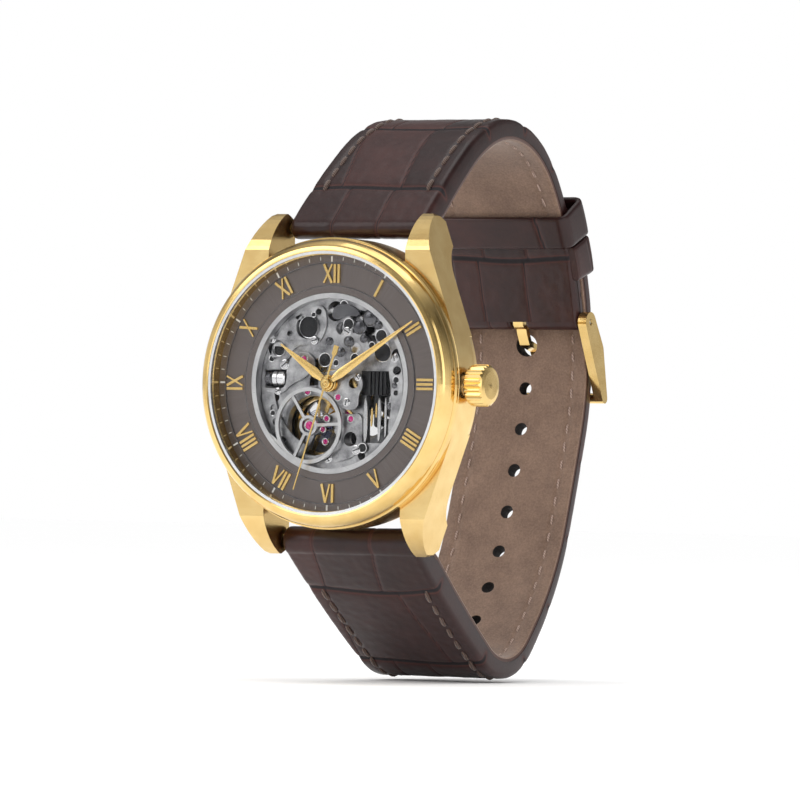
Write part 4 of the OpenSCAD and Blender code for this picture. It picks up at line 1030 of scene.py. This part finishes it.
def side_drum():
    """The polished drum lying along X in the plate's window at 9 o'clock, with a dark end."""
    n = 40
    for name, profile, material in (
            ("side_drum", [(-9.9, 0.05), (-9.9, 1.05), (-9.8, 1.15), (-9.2, 1.15), (-9.15, 1.0), (-9.0, 1.0),
                           (-8.95, 1.15), (-8.1, 1.15), (-7.9, 0.95), (-7.9, 0.05)], STEEL),
            ("side_drum_end", [(-11.3, 0.05), (-11.3, 0.7), (-11.0, 1.1), (-10.2, 1.18), (-9.93, 1.0),
                               (-9.93, 0.05)], DARK_STEEL_AND_SHADE)):
        verts = []
        for x, r in profile:
            for i in range(n):
                a = 2 * math.pi * i / n
                verts.append(dialxy(x, 0.65 + r * math.cos(a), 7.0 + r * math.sin(a)))
        faces = tube(0, n, len(profile), False)
        settle(make(name, verts, faces, material, "watch", "steel_polished"), 30)


jewels()
screws()
recess_shades()
domes()
side_drum()


# ---------------------------------------------------------------- camera, light and floor, in metres

LOOK_AT = Vector((0, -0.009, 0))
DISTANCE, SHIFT_RIGHT, SHIFT_UP = 1.0, 0.009834, -0.0023159
YAW, ELEVATION, ROLL = math.radians(29.70), math.radians(-0.835), math.radians(1.193)
FOCAL_PIXELS, WIDTH_PIXELS, SENSOR = 7182.4, 800, 36.0
LIGHTS_AT = Vector((0, 0.01, 0))
FLOOR_GAP = 0.0004
scene = bpy.context.scene
toward_camera = Vector((math.sin(YAW) * math.cos(ELEVATION), -math.cos(YAW) * math.cos(ELEVATION),
                        math.sin(ELEVATION)))
level_right = (-toward_camera).cross(Vector((0, 0, 1))).normalized()
level_up = level_right.cross(-toward_camera)
right = math.cos(ROLL) * level_right + math.sin(ROLL) * level_up
up = -math.sin(ROLL) * level_right + math.cos(ROLL) * level_up
place = toward_camera * DISTANCE + right * SHIFT_RIGHT + up * SHIFT_UP + LOOK_AT
camera = bpy.data.objects.new("camera", bpy.data.cameras.new("camera"))
scene.collection.objects.link(camera)
camera.data.sensor_width = SENSOR
camera.data.lens = SENSOR * FOCAL_PIXELS / WIDTH_PIXELS
camera.data.clip_start = 0.05
camera.data.clip_end = 20
camera.matrix_world = Matrix.Translation(place) @ Matrix((right, up, toward_camera)).transposed().to_4x4()
scene.camera = camera

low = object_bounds()[0][2]
me = bpy.data.meshes.new("floor")
bm = bmesh.new()
bmesh.ops.create_grid(bm, x_segments=2, y_segments=2, size=6.0)
bm.to_mesh(me)
bm.free()
floor = bpy.data.objects.new("floor", me)
floor.location = (0, 0, low - FLOOR_GAP)
scene.collection.objects.link(floor)
m, t, b = tree("floor")
put(t, b, Base_Color=ramp(t, noise_at(t, coords(t), 0.02), [(0.3, 0.985), (0.7, 0.999)]), Roughness=0.9,
    Specular_IOR_Level=0.0)
floor.data.materials.append(m)

for name, place, size, power in (("key_left", (-0.55, -0.75, 0.55), (0.5, 0.7), 2.6),
                                 ("fill_right", (0.95, -0.45, 0.25), (0.35, 0.9), 1.3),
                                 ("top", (0.0, 0.05, 0.9), (0.7, 0.7), 2.1),
                                 ("low_front", (0.25, -0.9, -0.02), (0.9, 0.12), 0.25)):
    light = bpy.data.lights.new(name, "AREA")
    light.shape = "RECTANGLE"
    light.size, light.size_y = size
    light.energy = power
    o = bpy.data.objects.new(name, light)
    scene.collection.objects.link(o)
    o.location = place
    o.rotation_euler = (LIGHTS_AT - Vector(place)).to_track_quat("-Z", "Y").to_euler()

# The world is an even white; only glossy rays see the gradient of a studio
world = bpy.data.worlds.new("studio")
scene.world = world
world.use_nodes = True
t = world.node_tree
t.nodes.clear()
side, _, height = add(t, "SeparateXYZ", add(t, "TexCoord").outputs["Generated"]).outputs
by_height = ramp(t, span(t, height, 0, 1, -1, 1),
                 [(0.0, 0.40), (0.34, 0.10), (0.46, 0.16), (0.53, 0.75), (0.63, 0.42), (0.80, 0.16),
                  (1.0, 0.9)])
by_side = ramp(t, span(t, side, 0, 1, -1, 1),
               [(0.0, 1.0), (0.30, 0.8), (0.47, 0.30), (0.66, 1.0), (0.82, 0.35), (1.0, 1.0)])
even = add(t, "Background", Color=(1, 1, 1, 1), Strength=1.0)
studio = add(t, "Background", Color=times(t, times(t, by_height, by_side), 1.25))
glossy_ray = add(t, "LightPath").outputs["Is Glossy Ray"]
mix = add(t, "MixShader", glossy_ray, even.outputs[0], studio.outputs[0])
add(t, "OutputWorld", mix.outputs[0])
scene.view_settings.view_transform = "Standard"
